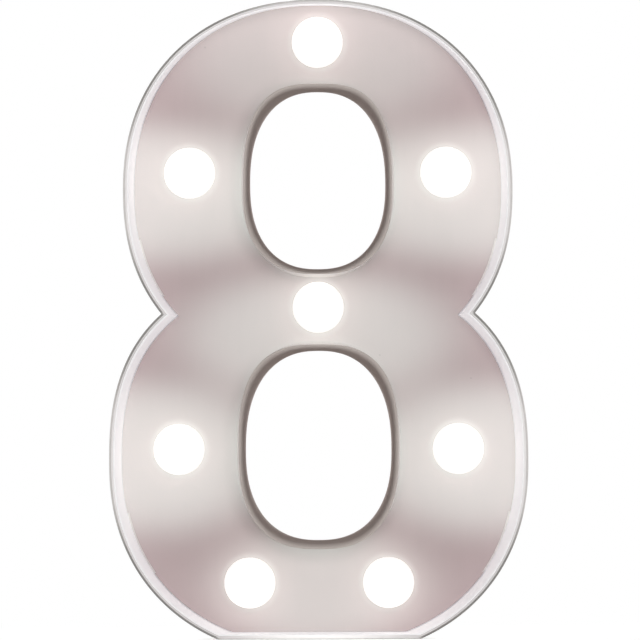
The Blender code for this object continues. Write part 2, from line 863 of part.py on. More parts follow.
def add_lead(name, run, radius, finish, resolution=2):
    """A round tube through the points of a run."""
    curve = bpy.data.curves.new(name, "CURVE")
    curve.dimensions = "3D"
    curve.bevel_depth = radius
    curve.bevel_resolution = resolution
    curve.use_fill_caps = True
    spline = curve.splines.new("POLY")
    spline.points.add(len(run) - 1)
    for target, point in zip(spline.points, run):
        target.co = (*point, 1)
    spline.use_smooth = True
    curve.materials.append(finish)
    made = bpy.data.objects.new(name, curve)
    bpy.context.scene.collection.objects.link(made)


def build_lamp_leads(red, black):
    """Two leads that run the whole chain, one along each row of the lamps' legs."""
    route = lead_route()
    reach = LEG_SPACING / 2 + LEG_SIDE / math.sqrt(2) + GAP + LEAD_RADIUS
    for name, side, finish in (("red_lamp_lead", 1, red), ("black_lamp_lead", -1, black)):
        run = []
        for i, point in enumerate(route.points):
            beside = point + route.normal(i) * side * reach
            run.append(Vector((beside.x, y_of(LEAD_DEPTH), beside.y)))
        add_lead(name, run, LEAD_RADIUS, finish)


def leg_tip(lamp, side):
    """Just behind the tip of a lamp's leg."""
    place = bulb_places()[lamp]
    across = lead_route().normal_at(lamp) * side * LEG_SPACING / 2
    return Vector((place.x + across.x, y_of(LEG_TIP + GAP), place.y + across.y))


def build_battery_box(finish):
    middle, half_width, half_height = box_frame()
    left, right = middle.x - half_width, middle.x + half_width
    bottom, top = middle.y - half_height, middle.y + half_height
    rim = COVER_FRONT - GAP
    bm = bmesh.new()
    outside = (left - BOX_WALL, right + BOX_WALL, BOX_FRONT, rim)
    add_box(bm, *outside, bottom - BOX_WALL, top + BOX_WALL)
    box = add("battery_box", bm, finish)
    inside = bmesh.new()
    add_box(inside, left, right, BOX_FRONT + BOX_FLOOR, rim + OVERRUN, bottom, top)
    combine(box, inside, "DIFFERENCE", "battery_box_inside")
    boss = bmesh.new()
    place = boss_place()
    bore_end = BOX_FLOOR - BOSS_LENGTH
    profile = [
        (0, -BOSS_LENGTH),
        (BOSS_RADIUS, -BOSS_LENGTH),
        (BOSS_RADIUS, 0),
        (BOSS_BORE_RADIUS, 0),
        (BOSS_BORE_RADIUS, bore_end),
        (0, bore_end),
    ]
    add_turned(boss, profile, ROUND_SIDES, facing_back(place.x, place.y, rim))
    combine(box, boss, "UNION", "battery_box_boss")
    holes = bmesh.new()
    for x in cell_columns():
        shift = Matrix.Translation((x, y_of(CELL_DEPTH), bottom - BOX_WALL - OVERRUN))
        height = BOX_WALL + OVERRUN * 2
        radius = LEAD_RADIUS + GAP
        hole = [(0, 0), (radius, 0), (radius, height), (0, height)]
        add_turned(holes, hole, ROUND_SIDES, shift)
    combine(box, holes, "DIFFERENCE", "battery_box_lead_holes")


def cell_columns():
    """Where the middles of the two cells lie along X."""
    middle, _, _ = box_frame()
    reach = CELL_RADIUS + GAP / 2
    return (middle.x - reach, middle.x + reach)


def boss_place():
    """The door screw's boss stands against the foot of the battery box."""
    middle, _, half_height = box_frame()
    return Vector((middle.x, middle.y - half_height - BOX_WALL - BOSS_RADIUS + UNION_OVERLAP))


def door_frame():
    """The door opening's left, right, bottom and top, and the height of the door's pins."""
    middle, half_width, half_height = box_frame()
    left = middle.x - half_width - DOOR_SEAT
    right = middle.x + half_width + DOOR_SEAT
    bottom = boss_place().y - DOOR_TAIL - DOOR_GAP
    top = middle.y + half_height + BOX_WALL
    return left, right, bottom, top, top - DOOR_GAP - COVER_THICKNESS / 2


def build_battery_door(finish, steel):
    left, right, bottom, _, pivot = door_frame()
    hinge = bpy.data.objects.new("battery_door_hinge", None)
    hinge.location = ((left + right) / 2, y_of(COVER_FRONT + COVER_THICKNESS / 2), pivot)
    bpy.context.scene.collection.objects.link(hinge)
    radius = COVER_THICKNESS / 2
    arc = circle(DEPTH - radius, pivot, radius, ROUND_SIDES, 0, math.pi)
    outline = [(point.x, point.y) for point in arc]
    outline += [(COVER_FRONT, bottom + DOOR_GAP), (DEPTH, bottom + DOOR_GAP)]
    bm = bmesh.new()
    add_prism(bm, outline, left + DOOR_GAP, right - DOOR_GAP)
    bmesh.ops.translate(bm, verts=bm.verts, vec=-hinge.location)
    door = add("battery_door", bm, finish)
    door.parent = hinge
    pins = bmesh.new()
    reach = DOOR_PIN_LENGTH + UNION_OVERLAP
    profile = [(0, 0), (DOOR_PIN_RADIUS, 0), (DOOR_PIN_RADIUS, reach), (0, reach)]
    sideways = Matrix.Rotation(math.pi / 2, 4, "Y")
    for x in (left + DOOR_GAP - DOOR_PIN_LENGTH, right - DOOR_GAP - UNION_OVERLAP):
        place = Matrix.Translation((x, hinge.location.y, pivot)) @ sideways
        add_turned(pins, profile, ROUND_SIDES, place)
    combine(door, pins, "UNION", "battery_door_pins")
    well = bmesh.new()
    place = boss_place()
    add_turned(well, screw_well(), ROUND_SIDES, facing_back(place.x, place.y, DEPTH))
    combine(door, well, "DIFFERENCE", "battery_door_well")
    screw = bmesh.new()
    add_screw(screw, place.x, place.y, BOSS_LENGTH - BOX_FLOOR - GAP * 2)
    bmesh.ops.translate(screw, verts=screw.verts, vec=-hinge.location)
    made = add("door_screw", screw, steel)
    made.parent = hinge


def screw_well():
    """The cutter for a screw's hole and its head's well, measured from the outer face."""
    floor = SCREW_HEAD_HEIGHT + GAP
    head = SCREW_HEAD_RADIUS + GAP
    through = COVER_THICKNESS + OVERRUN
    return [
        (0, -through),
        (SCREW_HOLE_RADIUS, -through),
        (SCREW_HOLE_RADIUS, -floor),
        (head, -floor),
        (head, OVERRUN),
        (0, OVERRUN),
    ]


def add_screw(bm, x, z, length):
    """A pan head screw with a slot, its head just under the outer face and its tip at a length."""
    head = SCREW_HEAD_HEIGHT
    under = COVER_THICKNESS - head + length
    seat = -head
    half = SCREW_SLOT / 2
    profile = [
        (0, seat - under),
        (SCREW_RADIUS - SCREW_SLOT / 2, seat - under),
        (SCREW_RADIUS, seat - under + SCREW_SLOT),
        (SCREW_RADIUS, seat),
        (SCREW_HEAD_RADIUS, seat),
        (SCREW_HEAD_RADIUS, seat + head / 2),
        (SCREW_HEAD_RADIUS - half, seat + head - half),
        (SCREW_SLOT, seat + head - half),
        (SCREW_SLOT, seat + head - SCREW_SLOT),
        (0, seat + head - SCREW_SLOT),
    ]
    add_turned(bm, profile, ROUND_SIDES, facing_back(x, z, DEPTH))


def build_cells(finish):
    """Two cells side by side, the first with its nub up and the second with its nub down."""
    middle, _, half_height = box_frame()
    far = half_height - GAP * 2 - PLATE_THICKNESS
    inner = CELL_RADIUS - CELL_EDGE
    length = CELL_LENGTH + CELL_NUB_LENGTH
    profile = [
        (0, 0),
        (inner, 0),
        (CELL_RADIUS, CELL_EDGE),
        (CELL_RADIUS, CELL_LENGTH - CELL_EDGE),
        (inner, CELL_LENGTH),
        (CELL_NUB_RADIUS, CELL_LENGTH),
        (CELL_NUB_RADIUS, length),
        (0, length),
    ]
    for number, x, way in ((1, cell_columns()[0], 1), (2, cell_columns()[1], -1)):
        tip = far * way
        bm = bmesh.new()
        add_turned(bm, profile, GLOBE_SIDES)
        origin = (x, y_of(CELL_DEPTH), middle.y + tip - length * way)
        add(f"battery_cell_{number}", bm, finish, origin, (0 if way > 0 else math.pi, 0, 0))


def build_contacts(finish):
    """A bridge across the top of both cells, and a plate for each cell at the bottom."""
    middle, _, half_height = box_frame()
    first, second = cell_columns()
    half = PLATE_WIDTH / 2
    depth = (CELL_DEPTH - half, CELL_DEPTH + half)
    top = middle.y + half_height - GAP
    bottom = middle.y - half_height + GAP
    bm = bmesh.new()
    add_box(bm, first - half, second + half, *depth, top - PLATE_THICKNESS, top)
    add("bridge_contact", bm, finish)
    for name, x in (("negative_contact", first), ("positive_contact", second)):
        bm = bmesh.new()
        add_box(bm, x - half, x + half, *depth, bottom, bottom + PLATE_THICKNESS)
        add(name, bm, finish)
    low = bottom + PLATE_THICKNESS + GAP + SPRING_WIRE_RADIUS
    high = top - PLATE_THICKNESS - GAP - SPRING_WIRE_RADIUS
    rise = SPRING_LENGTH - GAP - SPRING_WIRE_RADIUS * 2
    add_lead("negative_spring", coil(first, low, rise), SPRING_WIRE_RADIUS, finish, 1)
    add_lead("bridge_spring", coil(second, high, -rise), SPRING_WIRE_RADIUS, finish, 1)


def coil(x, start, rise):
    """A spring's helix, from its plate towards its cell."""
    count = SPRING_TURNS * CURL_POINTS
    points = []
    for i in range(count + 1):
        angle = 2 * math.pi * i / CURL_POINTS
        points.append(
            Vector(
                (
                    x + SPRING_RADIUS * math.cos(angle),
                    y_of(CELL_DEPTH) + SPRING_RADIUS * math.sin(angle),
                    start + rise * i / count,
                )
            )
        )
    nearest = min(
        (points[i] - points[j]).length
        for i in range(len(points))
        for j in range(i + CURL_POINTS // 2, len(points))
    )
    print("least gap between a spring's turns, mm:", (nearest - SPRING_WIRE_RADIUS * 2) * 1000)
    return points


def keyhole():
    """A keyhole under the crown: a round entry with a narrower slot above it."""
    cover_top = UPPER_LEVEL + UPPER_RISE - BACK_DRAFT - COVER_REBATE_WALL
    hook = cover_top - KEYHOLE_MARGIN - KEYHOLE_SLOT_RADIUS
    meet = math.acos(KEYHOLE_SLOT_RADIUS / KEYHOLE_RADIUS)
    around = (HOLE_POINTS, math.pi - meet, math.pi + meet * 2)
    entry = circle(0, hook - KEYHOLE_RISE, KEYHOLE_RADIUS, *around)
    slot = circle(0, hook, KEYHOLE_SLOT_RADIUS, ROUND_SIDES, 0, math.pi)
    return entry + slot


def switch_level():
    return (LOWER_LIP.level - LOWER_LIP.drop) * SWITCH_SHARE


def knob_window():
    """Half the length and half the height of the window that the knob slides in."""
    return (KNOB_TRAVEL + KNOB_LENGTH) / 2 + GAP, KNOB_HEIGHT / 2 + GAP


def build_back_cover(finish):
    left, right, bottom, top, pivot = door_frame()
    ear = DOOR_PIN_LENGTH
    ear_bottom = pivot - DOOR_PIN_RADIUS - GAP
    opening = [
        Vector(corner)
        for corner in (
            (left, bottom),
            (right, bottom),
            (right, ear_bottom),
            (right + ear, ear_bottom),
            (right + ear, top),
            (left - ear, top),
            (left - ear, ear_bottom),
            (left, ear_bottom),
        )
    ]
    counters = [
        counter_bore(lip, lift, COVER_FRONT).grown(SLEEVE_WALL + GAP).loop(COUNTER_POINTS)
        for lip, lift in counters_of()
    ]
    level = switch_level()
    reach, half = knob_window()
    slot = rectangle(-reach, reach, level - half, level + half)
    outline = numeral(even(BACK_DRAFT + COVER_REBATE_WALL + GAP))
    bm = bmesh.new()
    add_plate(bm, outline, [*counters, opening, slot, keyhole()], COVER_FRONT, DEPTH)
    cover = add("back_cover", bm, finish)
    wells = bmesh.new()
    for place in post_places():
        add_turned(wells, screw_well(), ROUND_SIDES, facing_back(place.x, place.y, DEPTH))
    margin = SWITCH_WELL_MARGIN
    well = (-reach - margin, reach + margin, DEPTH - SWITCH_WELL_DEPTH, DEPTH + OVERRUN)
    add_box(wells, *well, level - half - margin, level + half + margin)
    combine(cover, wells, "DIFFERENCE", "back_cover_wells")


def build_cover_screws(steel):
    for number, place in enumerate(post_places(), 1):
        bm = bmesh.new()
        add_screw(bm, place.x, place.y, SCREW_LENGTH)
        add(f"cover_screw_{number}", bm, steel)


def build_switch(case, metal, knob_finish):
    """A slide switch behind the cover, shown at ON, its knob at the end towards +X."""
    level = switch_level()
    back = COVER_FRONT - GAP
    front = back - SWITCH_DEPTH
    half_length = SWITCH_LENGTH / 2
    half_height = SWITCH_HEIGHT / 2
    bm = bmesh.new()
    add_box(bm, -half_length, half_length, front, back, level - half_height, level + half_height)
    body = add("switch_body", bm, case)
    reach, half = knob_window()
    groove = bmesh.new()
    floor = back - KNOB_SINK - GAP
    add_box(groove, -reach, reach, floor, back + OVERRUN, level - half, level + half)
    combine(body, groove, "DIFFERENCE", "switch_groove")
    rest = KNOB_TRAVEL / 2
    bm = bmesh.new()
    ends = (rest - KNOB_LENGTH / 2, rest + KNOB_LENGTH / 2)
    depths = (back - KNOB_SINK, DEPTH - GAP)
    add_box(bm, *ends, *depths, level - KNOB_HEIGHT / 2, level + KNOB_HEIGHT / 2)
    slide = Vector((rest, y_of(DEPTH), level))
    bmesh.ops.translate(bm, verts=bm.verts, vec=-slide)
    add("switch_knob", bm, knob_finish, slide)
    half = PIN_SIDE / 2
    depths = (front - GAP - PIN_LENGTH, front - GAP)
    for number, x in enumerate((-PIN_SPACING, 0, PIN_SPACING), 1):
        bm = bmesh.new()
        add_box(bm, x - half, x + half, *depths, level - half, level + half)
        add(f"switch_terminal_{number}", bm, metal)


def terminal_tip(x):
    """Just in front of a switch terminal's tip."""
    depth = COVER_FRONT - GAP - SWITCH_DEPTH - GAP - PIN_LENGTH - GAP
    return Vector((x, y_of(depth), switch_level()))


def resistor_centre():
    tip = terminal_tip(-PIN_SPACING)
    reach = RESISTOR_LENGTH / 2 + RESISTOR_PIN_LENGTH
    return Vector((-SWITCH_LENGTH / 2 - reach - LEAD_STUB, tip.y, tip.z))


def build_resistor(finish):
    half = RESISTOR_LENGTH / 2
    reach = half + RESISTOR_PIN_LENGTH
    cap = half - RESISTOR_RADIUS
    slim = RESISTOR_RADIUS - RESISTOR_WAIST
    right_half = [(slim, 0), (slim, cap - RESISTOR_WAIST), (RESISTOR_RADIUS, cap)]
    right_half += [(RESISTOR_RADIUS, half - RESISTOR_WAIST), (slim, half)]
    right_half += [(RESISTOR_PIN_RADIUS, half), (RESISTOR_PIN_RADIUS, reach), (0, reach)]
    left_half = [(radius, -height) for radius, height in reversed(right_half[1:])]
    bm = bmesh.new()
    add_turned(bm, left_half + right_half, ROUND_SIDES)
    add("series_resistor", bm, finish, resistor_centre(), (0, math.pi / 2, 0))


def bent_run(start, leaving, end, arriving, shares):
    """A smooth run between two ends, straight at each for the length of a stub."""
    across = end - start
    bends = [
        Vector((start.x + across.x * x, start.y + across.y * y, start.z + across.z * z))
        for x, y, z in shares
    ]
    first = start + Vector(leaving) * LEAD_STUB
    last = end + Vector(arriving) * LEAD_STUB
    return [start, *smooth([first, *bends, last], LEAD_STEPS), end]


def build_hidden_leads(red, black):
    middle, _, half_height = box_frame()
    first, second = cell_columns()
    plate = middle.y - half_height
    negative = Vector((first, y_of(CELL_DEPTH), plate))
    positive = Vector((second, y_of(CELL_DEPTH), plate))
    centre = resistor_centre()
    reach = Vector((RESISTOR_LENGTH / 2 + RESISTOR_PIN_LENGTH + GAP, 0, 0))
    output = terminal_tip(-PIN_SPACING)
    down, left, right = (0, 0, -1), (-1, 0, 0), (1, 0, 0)
    forward, backward = (0, -1, 0), (0, 1, 0)
    runs = (
        ("battery_lead_red", red, positive, down, terminal_tip(0), forward, BATTERY_RED_SHARES),
        ("battery_lead_black", black, negative, down, leg_tip(5, -1), backward, BATTERY_BLACK_SHARES),
        ("switch_lead_red", red, output, forward, centre + reach, right, STRAIGHT_SHARES),
        ("feed_lead_red", red, centre - reach, left, leg_tip(6, 1), backward, STRAIGHT_SHARES),
    )
    for name, finish, start, leaving, end, arriving, shares in runs:
        run = bent_run(start, leaving, end, arriving, shares)
        add_lead(name, run, LEAD_RADIUS, finish)


def main():
    for leftover in list(bpy.data.objects):
        bpy.data.objects.remove(leftover)
    shell = material("shell_white", (0.87, 0.85, 0.83), 0.38)
    frosted = material("bulb_frosted", (0.98, 0.96, 0.92), 0.30)
    epoxy = material("led_epoxy", (0.92, 0.90, 0.78), 0.15)
    dark = material("black_plastic", (0.03, 0.03, 0.03), 0.45)
    steel = material("screw_steel", (0.62, 0.62, 0.60), 0.30, 1.0)
    nickel = material("contact_nickel", (0.74, 0.71, 0.66), 0.28, 1.0)
    cell = material("cell_jacket", (0.10, 0.11, 0.12), 0.35)
    red = material("lead_red", (0.55, 0.03, 0.02), 0.42)
    black = material("lead_black", (0.02, 0.02, 0.02), 0.42)
    ceramic = material("resistor_body", (0.55, 0.43, 0.28), 0.50)

    build_outer_rim(shell)
    build_face_panel(shell)
    build_sleeve("upper_counter_sleeve", UPPER_LIP, UPPER_COUNTER_BACK_LIFT, shell)
    build_sleeve("lower_counter_sleeve", LOWER_LIP, LOWER_COUNTER_BACK_LIFT, shell)
    build_bulbs(frosted, shell, epoxy)
    build_lamp_leads(red, black)
    build_battery_box(shell)
    build_battery_door(shell, steel)
    build_cells(cell)
    build_contacts(nickel)
    build_back_cover(shell)
    build_cover_screws(steel)
    build_switch(dark, nickel, dark)
    build_resistor(ceramic)
    build_hidden_leads(red, black)


main()
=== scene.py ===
"""Light up marquee number: the finished looks of its pieces, laid out as a Blender add-on."""

import json
import math
from collections import namedtuple

import bmesh
import bpy
from bpy.props import FloatProperty, FloatVectorProperty, PointerProperty
from bpy.types import Operator, Panel, PropertyGroup
from mathutils import Matrix, Vector


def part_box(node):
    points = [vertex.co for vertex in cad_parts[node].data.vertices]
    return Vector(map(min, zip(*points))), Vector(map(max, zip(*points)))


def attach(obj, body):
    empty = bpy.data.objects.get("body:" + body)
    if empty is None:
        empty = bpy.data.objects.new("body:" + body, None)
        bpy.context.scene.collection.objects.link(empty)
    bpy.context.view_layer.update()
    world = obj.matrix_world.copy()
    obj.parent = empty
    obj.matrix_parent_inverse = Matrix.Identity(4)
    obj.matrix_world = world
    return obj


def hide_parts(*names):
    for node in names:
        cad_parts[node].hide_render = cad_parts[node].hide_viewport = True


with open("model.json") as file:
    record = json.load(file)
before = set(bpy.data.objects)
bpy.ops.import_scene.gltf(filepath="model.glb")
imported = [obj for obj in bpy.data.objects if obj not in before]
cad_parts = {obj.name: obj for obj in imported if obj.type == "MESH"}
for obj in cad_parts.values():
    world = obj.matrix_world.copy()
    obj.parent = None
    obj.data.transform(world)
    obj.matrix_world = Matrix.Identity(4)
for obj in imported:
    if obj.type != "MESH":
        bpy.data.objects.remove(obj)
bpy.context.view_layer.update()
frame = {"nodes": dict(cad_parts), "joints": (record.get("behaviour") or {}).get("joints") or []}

bl_info = {
    "name": "Marquee Number Finish",
    "version": (1, 0, 0),
    "blender": (4, 5, 0),
    "location": "3D View > Sidebar > Marquee",
    "description": "Shapes and finishes the visible pieces of a light up marquee number",
    "category": "Object",
}

# Depths and overall sizes, read from the frame
RIM_LOW, RIM_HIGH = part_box("outer_rim")
COVER_LOW, COVER_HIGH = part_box("back_cover")
FRONT = RIM_LOW.y
BACK = RIM_HIGH.y
DEPTH = BACK - FRONT
HEIGHT = RIM_HIGH.z
FACE_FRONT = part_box("face_panel")[0].y
COVER_FRONT = COVER_LOW.y
BULBS = range(1, 9)
COVER_SCREWS = range(1, 7)
TERMINALS = range(1, 4)

# A lit bulb's outer ring, which shines less: its depths in radii and its share of the light
LIMB_START = 0.45
LIMB_END = 0.80
LIMB_LIGHT = 0.33

# The patch that each lamp lights on the face: its share of light, size and offset
Patch = namedtuple("Patch", "share width height outward drop")
CROWN_PATCH = Patch(0.60, 0.047, 0.027, 0.0, 0.004)
UPPER_PATCH = Patch(0.94, 0.077, 0.024, 0.020, 0.007)
WAIST_PATCH = Patch(0.86, 0.047, 0.023, 0.0, 0.010)
LOWER_PATCH = Patch(0.98, 0.047, 0.026, 0.010, 0.003)
FOOT_PATCH = Patch(0.39, 0.037, 0.021, -0.021, 0.001)
PATCHES = (
    UPPER_PATCH, CROWN_PATCH, UPPER_PATCH, WAIST_PATCH,
    LOWER_PATCH, FOOT_PATCH, FOOT_PATCH, LOWER_PATCH,
)
PATCH_STEEPNESS = 2.5

# The close halo that each bulb throws on the face around it
HALO_RADIUS = 0.0100
HALO_SHARE = 0.47
HALO_STEEPNESS = 6.0

# The light that the sleeves throw back on the face close to them
BOUNCE_REACH = 0.0016
BOUNCE_SHARE = 0.40
BOUNCE_STEEPNESS = 7.0

# Fits
GAP = 0.0003
SEAM = 0.0003
MERGE = 0.000001

# Levels at which the numeral's two halves are widest
UPPER_LEVEL = 0.1545
LOWER_LEVEL = 0.0608

# How the counters narrow towards the back, and their powers there
COUNTER_TAPER = 0.0028
COUNTER_BACK_POWERS = (2.35, 2.37)

# Rim
LIP_THICKNESS = 0.0018
BACK_DRAFT = 0.0012
BACK_ROUNDING = 0.0004
LEDGE_WIDTH = 0.0022
LEDGE_THICKNESS = 0.0020
RIM_WALL = 0.0026
COVER_REBATE_WALL = 0.0013
FOOT_ROUNDING = 0.3

# Face panel
FACE_THICKNESS = 0.0018
LOCATING_STEP = 0.0006
STEP_BORDERS = (0.1380, 0.1180, 0.0439, 0.0226)

# Counter sleeves
SLEEVE_WALL = 0.0016
SLEEVE_SHOULDER = 0.0008
MOUTH_DEPTH = 0.0030
CREST_TURN = 1.5

# Bulb caps
CAP_WALL = 0.0010
NECK_RADIUS = 0.0060
FLANGE_WIDTH = 0.0014
FLANGE_THICKNESS = 0.0010

# Screws
SCREW_RADIUS = 0.0010
SCREW_HEAD_RADIUS = 0.0024
SCREW_HEAD_HEIGHT = 0.0010
SCREW_HEAD_ROUNDING = 0.00045
SCREW_HOLE_RADIUS = 0.0014
RECESS_REACH = 0.0014
RECESS_HALF_SLOT = 0.00028
RECESS_DEPTH = 0.0007
RECESS_TAPER = 0.55

# Keyhole
KEYHOLE_RADIUS = 0.0040
KEYHOLE_SLOT_RADIUS = 0.0021
KEYHOLE_RISE = 0.0060
KEYHOLE_MARGIN = 0.0047

# Battery door and box
DOOR_GAP = 0.0004
DOOR_PIN_RADIUS = 0.0007
DOOR_PIN_LENGTH = 0.0012
DOOR_CORNER = 0.0008
GRIP_COUNT = 4
GRIP_WIDTH = 0.0150
GRIP_SPACING = 0.0022
GRIP_HALF_HEIGHT = 0.0006
GRIP_CORNER = 0.00057
GRIP_DEPTH = 0.0009
GRIP_RISE = 0.0075
ARROW_HALF_WIDTH = 0.0030
ARROW_HEIGHT = 0.0040
ARROW_RISE = 0.0190
BOX_WALL = 0.0014
BOX_FLOOR = 0.0010
BOX_CORNER = 0.0012
BOSS_RADIUS = 0.0028

# Cells and their contacts
CELL_EDGE = 0.0008
CELL_NUB_RADIUS = 0.0027
CELL_NUB_LENGTH = 0.0010
CELL_LIP = 0.0004
CELL_BAND = 0.0065
SPRING_RADIUS = 0.0032
SPRING_WIRE_RADIUS = 0.00025
SPRING_TURNS = 4
SPRING_TURN_POINTS = 24

# Slide switch
WELL_MARGIN = 0.0016
WELL_DEPTH = 0.0012
WELL_CORNER = 0.0006
KNOB_TRAVEL = 0.0032
KNOB_GROOVES = 4
KNOB_RIB = 0.00028
KNOB_GROOVE_CORNER = 0.000126
KNOB_GROOVE_BORDER = 0.00042
LETTER_HEIGHT = 0.0034
LETTER_RELIEF = 0.00025
LETTER_MARGIN = 0.0062

# The resistor's body and its coloured bands, as shares of its length
RESISTOR_BODY = (0.28, 0.72)
RESISTOR_BAND = 0.04
RESISTOR_CAPS = (0.6, 0.58, 0.55, 1.0)
RESISTOR_BANDS = (
    (0.38, (0.2, 0.07, 0.03, 1.0)),
    (0.47, (0.02, 0.02, 0.02, 1.0)),
    (0.60, (0.6, 0.4, 0.1, 1.0)),
)

# Textures: how fine they are, and the part of a noise's range that counts
WHITE = (1.0, 1.0, 1.0)
NOISE_SPAN = (0.3, 0.7)
DRIFT_SCALE = 22.0
STREAK_SCALES = (420.0, 420.0, 40.0)
SPECK_SCALE = 130.0
SPECK_CHOICE = (0.62, 0.72)
SPECK_EDGE = (0.035, 0.06)
SPECK_COLOUR = (0.12, 0.09, 0.08)
GRAIN_SCALE = 1500.0
GRAIN_BUMP = 0.00002
BACK_BUMP = 0.00005
GRAIN_WAVES = 0.3
WAVE_SCALE = 90.0
DULLING_SCALE = 60.0
DULLING = 0.08
TURNING_SCALES = (900.0, 900.0, 9000.0)
TURNING_BUMP = 0.000004
BLOTCH_SCALE = 700.0
BLOTCH_TONE = (0.9, 1.05)
BLOTCH_DULLING = (0.8, 1.25)
FROST_SCALE = 2600.0
FROST_WAVES = 0.1
FROST_BUMP = 0.00001
JACKET_SCALE = 120.0
JACKET_ROUGHNESS = (0.30, 0.38)
JACKET_RIPPLE = 900.0
RIPPLE_BUMP = 0.000004
# How far aslant the rim's outer edge runs where its painted shade starts and where it is darkest
EDGE_SHADE_SLANT = (0.15, 0.4)

# Stage: its soft lamps with their places, sizes and settings, the floor and the picture
LAMPS = (
    ("front_lamp", (0.1, -2.0, 0.18), 0.9, "front_light"),
    ("top_lamp", (0.0, -0.3, 1.6), 1.0, "top_light"),
    ("left_lamp", (-2.0, 0.6, 0.5), 0.8, "side_light"),
    ("right_lamp", (2.0, 0.6, 0.5), 0.8, "side_light"),
    ("back_lamp", (0.0, 2.9, 0.5), 1.4, "back_light"),
)
FLOOR_CELLS = 24
FADE_START = HEIGHT * 0.5
FADE_END = HEIGHT * 1.8
PICTURE_SIDE = 640
FOOT_ROW = 639.3
CROWN_ROW = -0.4
MIDDLE_COLUMN = 318.2

# Degrees between two faces above which the edge between them stays sharp
SHARP_ANGLE = 40

# Numbers of points
UPPER_STEPS = 84
LOWER_STEPS = 72
COUNTER_POINTS = 144
ROUND_POINTS = 48
GLOBE_POINTS = 64
CORNER_STEPS = 4

Counter = namedtuple("Counter", "name lip crest lift")
Inset = namedtuple("Inset", "crown upper_side waist lower_side keel foot")
FACE_BANDS = Inset(0.0018, 0.0038, 0.0036, 0.0043, 0.0039, 0.0023)


class Oval(namedtuple("Oval", "level half_width rise drop powers")):
    """A superellipse whose rise above its widest level and drop below it differ."""

    def drawn_in(self, sides, top, foot):
        return self._replace(
            half_width=self.half_width - sides, rise=self.rise - top, drop=self.drop - foot
        )

    def grown(self, margin):
        return self.drawn_in(-margin, -margin, -margin)

    def blended(self, other, share):
        def mix(here, there):
            return here + (there - here) * share

        powers = map(mix, self.powers, other.powers)
        return Oval(*map(mix, self[:-1], other[:-1]), tuple(powers))

    def side(self, above):
        return (self.rise, self.powers[0]) if above else (self.drop, self.powers[1])

    def point(self, angle):
        across, up = math.cos(angle), math.sin(angle)
        height, power = self.side(up >= 0)
        x = self.half_width * math.copysign(abs(across) ** (2 / power), across)
        z = height * math.copysign(abs(up) ** (2 / power), up)
        return Vector((x, self.level + z))

    def angle_at(self, z):
        rise = z - self.level
        height, power = self.side(rise >= 0)
        share = min(abs(rise) / height, 1)
        return math.copysign(math.asin(share ** (power / 2)), rise)

    def loop(self, count):
        return [self.point(2 * math.pi * i / count) for i in range(count)]


def measured_counter(name, level, powers, lift, draw, crest_powers):
    """A counter's outlines at its lip and crest, from the size of its sleeve."""
    low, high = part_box(f"{name}_counter_sleeve")
    lip = Oval(level, high.x, high.z - level, level - low.z, powers)
    return Counter(name, lip, lip.drawn_in(*draw)._replace(powers=crest_powers), lift)


# Numeral outline at the front lip
UPPER_OVAL = Oval(
    UPPER_LEVEL, half_width=0.0670, rise=HEIGHT - UPPER_LEVEL, drop=0.0643, powers=(2.2, 2.27)
)
LOWER_OVAL = Oval(
    LOWER_LEVEL, half_width=0.0721, rise=0.0666, drop=0.0673, powers=(2.52, 2.21)
)

# Counters: the lift is at the back, and the draw is the crest's at its sides, top and foot
COUNTERS = (
    measured_counter(
        "upper", level=0.1541, powers=(2.89, 2.26), lift=0.0025,
        draw=(0.0005, 0.0002, 0.0010), crest_powers=(2.89, 2.50),
    ),
    measured_counter(
        "lower", level=0.0658, powers=(2.68, 2.62), lift=-0.0009,
        draw=(0.0004, 0.0005, 0.0), crest_powers=(2.78, 2.62),
    ),
)


def even(inset, foot=None):
    """The same inset all round, apart from the foot."""
    return Inset(inset, inset, inset, inset, inset, inset if foot is None else foot)


def widened(inset, margin):
    return Inset(*(size + margin for size in inset))


def steps_between(start, end, count):
    return [start + (end - start) * i / count for i in range(count + 1)]


def numeral(inset):
    """The closed outline of the eight, clockwise from its top as seen from the front."""
    upper = UPPER_OVAL.drawn_in(inset.upper_side, inset.crown, inset.waist)
    lower = LOWER_OVAL.drawn_in(inset.lower_side, inset.waist, inset.keel)
    low, high = LOWER_LEVEL, UPPER_LEVEL
    while high - low > MERGE:
        neck = (low + high) / 2
        if upper.point(upper.angle_at(neck)).x > lower.point(lower.angle_at(neck)).x:
            high = neck
        else:
            low = neck
    above = steps_between(math.pi / 2, upper.angle_at(neck), UPPER_STEPS)
    below = steps_between(lower.angle_at(neck), lower.angle_at(inset.foot), LOWER_STEPS)
    right = [upper.point(angle) for angle in above]
    right += [lower.point(angle) for angle in below[1:]]
    right[0].x = 0
    left = [Vector((-point.x, point.y)) for point in reversed(right[1:])]
    return right + left


def stepped(outline):
    """The outline drawn in by the locating step at the heights that hold one."""
    upper_top, upper_bottom, lower_top, lower_bottom = STEP_BORDERS
    result = []
    for here, there in zip(outline, outline[1:] + outline[:1]):
        shares = [0, 1]
        for border in STEP_BORDERS:
            if min(here.y, there.y) < border < max(here.y, there.y):
                shares.append((border - here.y) / (there.y - here.y))
        shares.sort()
        stops = [here.lerp(there, share) for share in shares]
        for start, end in zip(stops, stops[1:]):
            z = (start.y + end.y) / 2
            held = upper_bottom < z < upper_top or lower_bottom < z < lower_top
            for point in (start, end):
                moved = Vector((point.x - math.copysign(LOCATING_STEP * held, point.x), point.y))
                if not result or (moved - result[-1]).length > MERGE:
                    result.append(moved)
    if (result[0] - result[-1]).length < MERGE:
        result.pop()
    return result


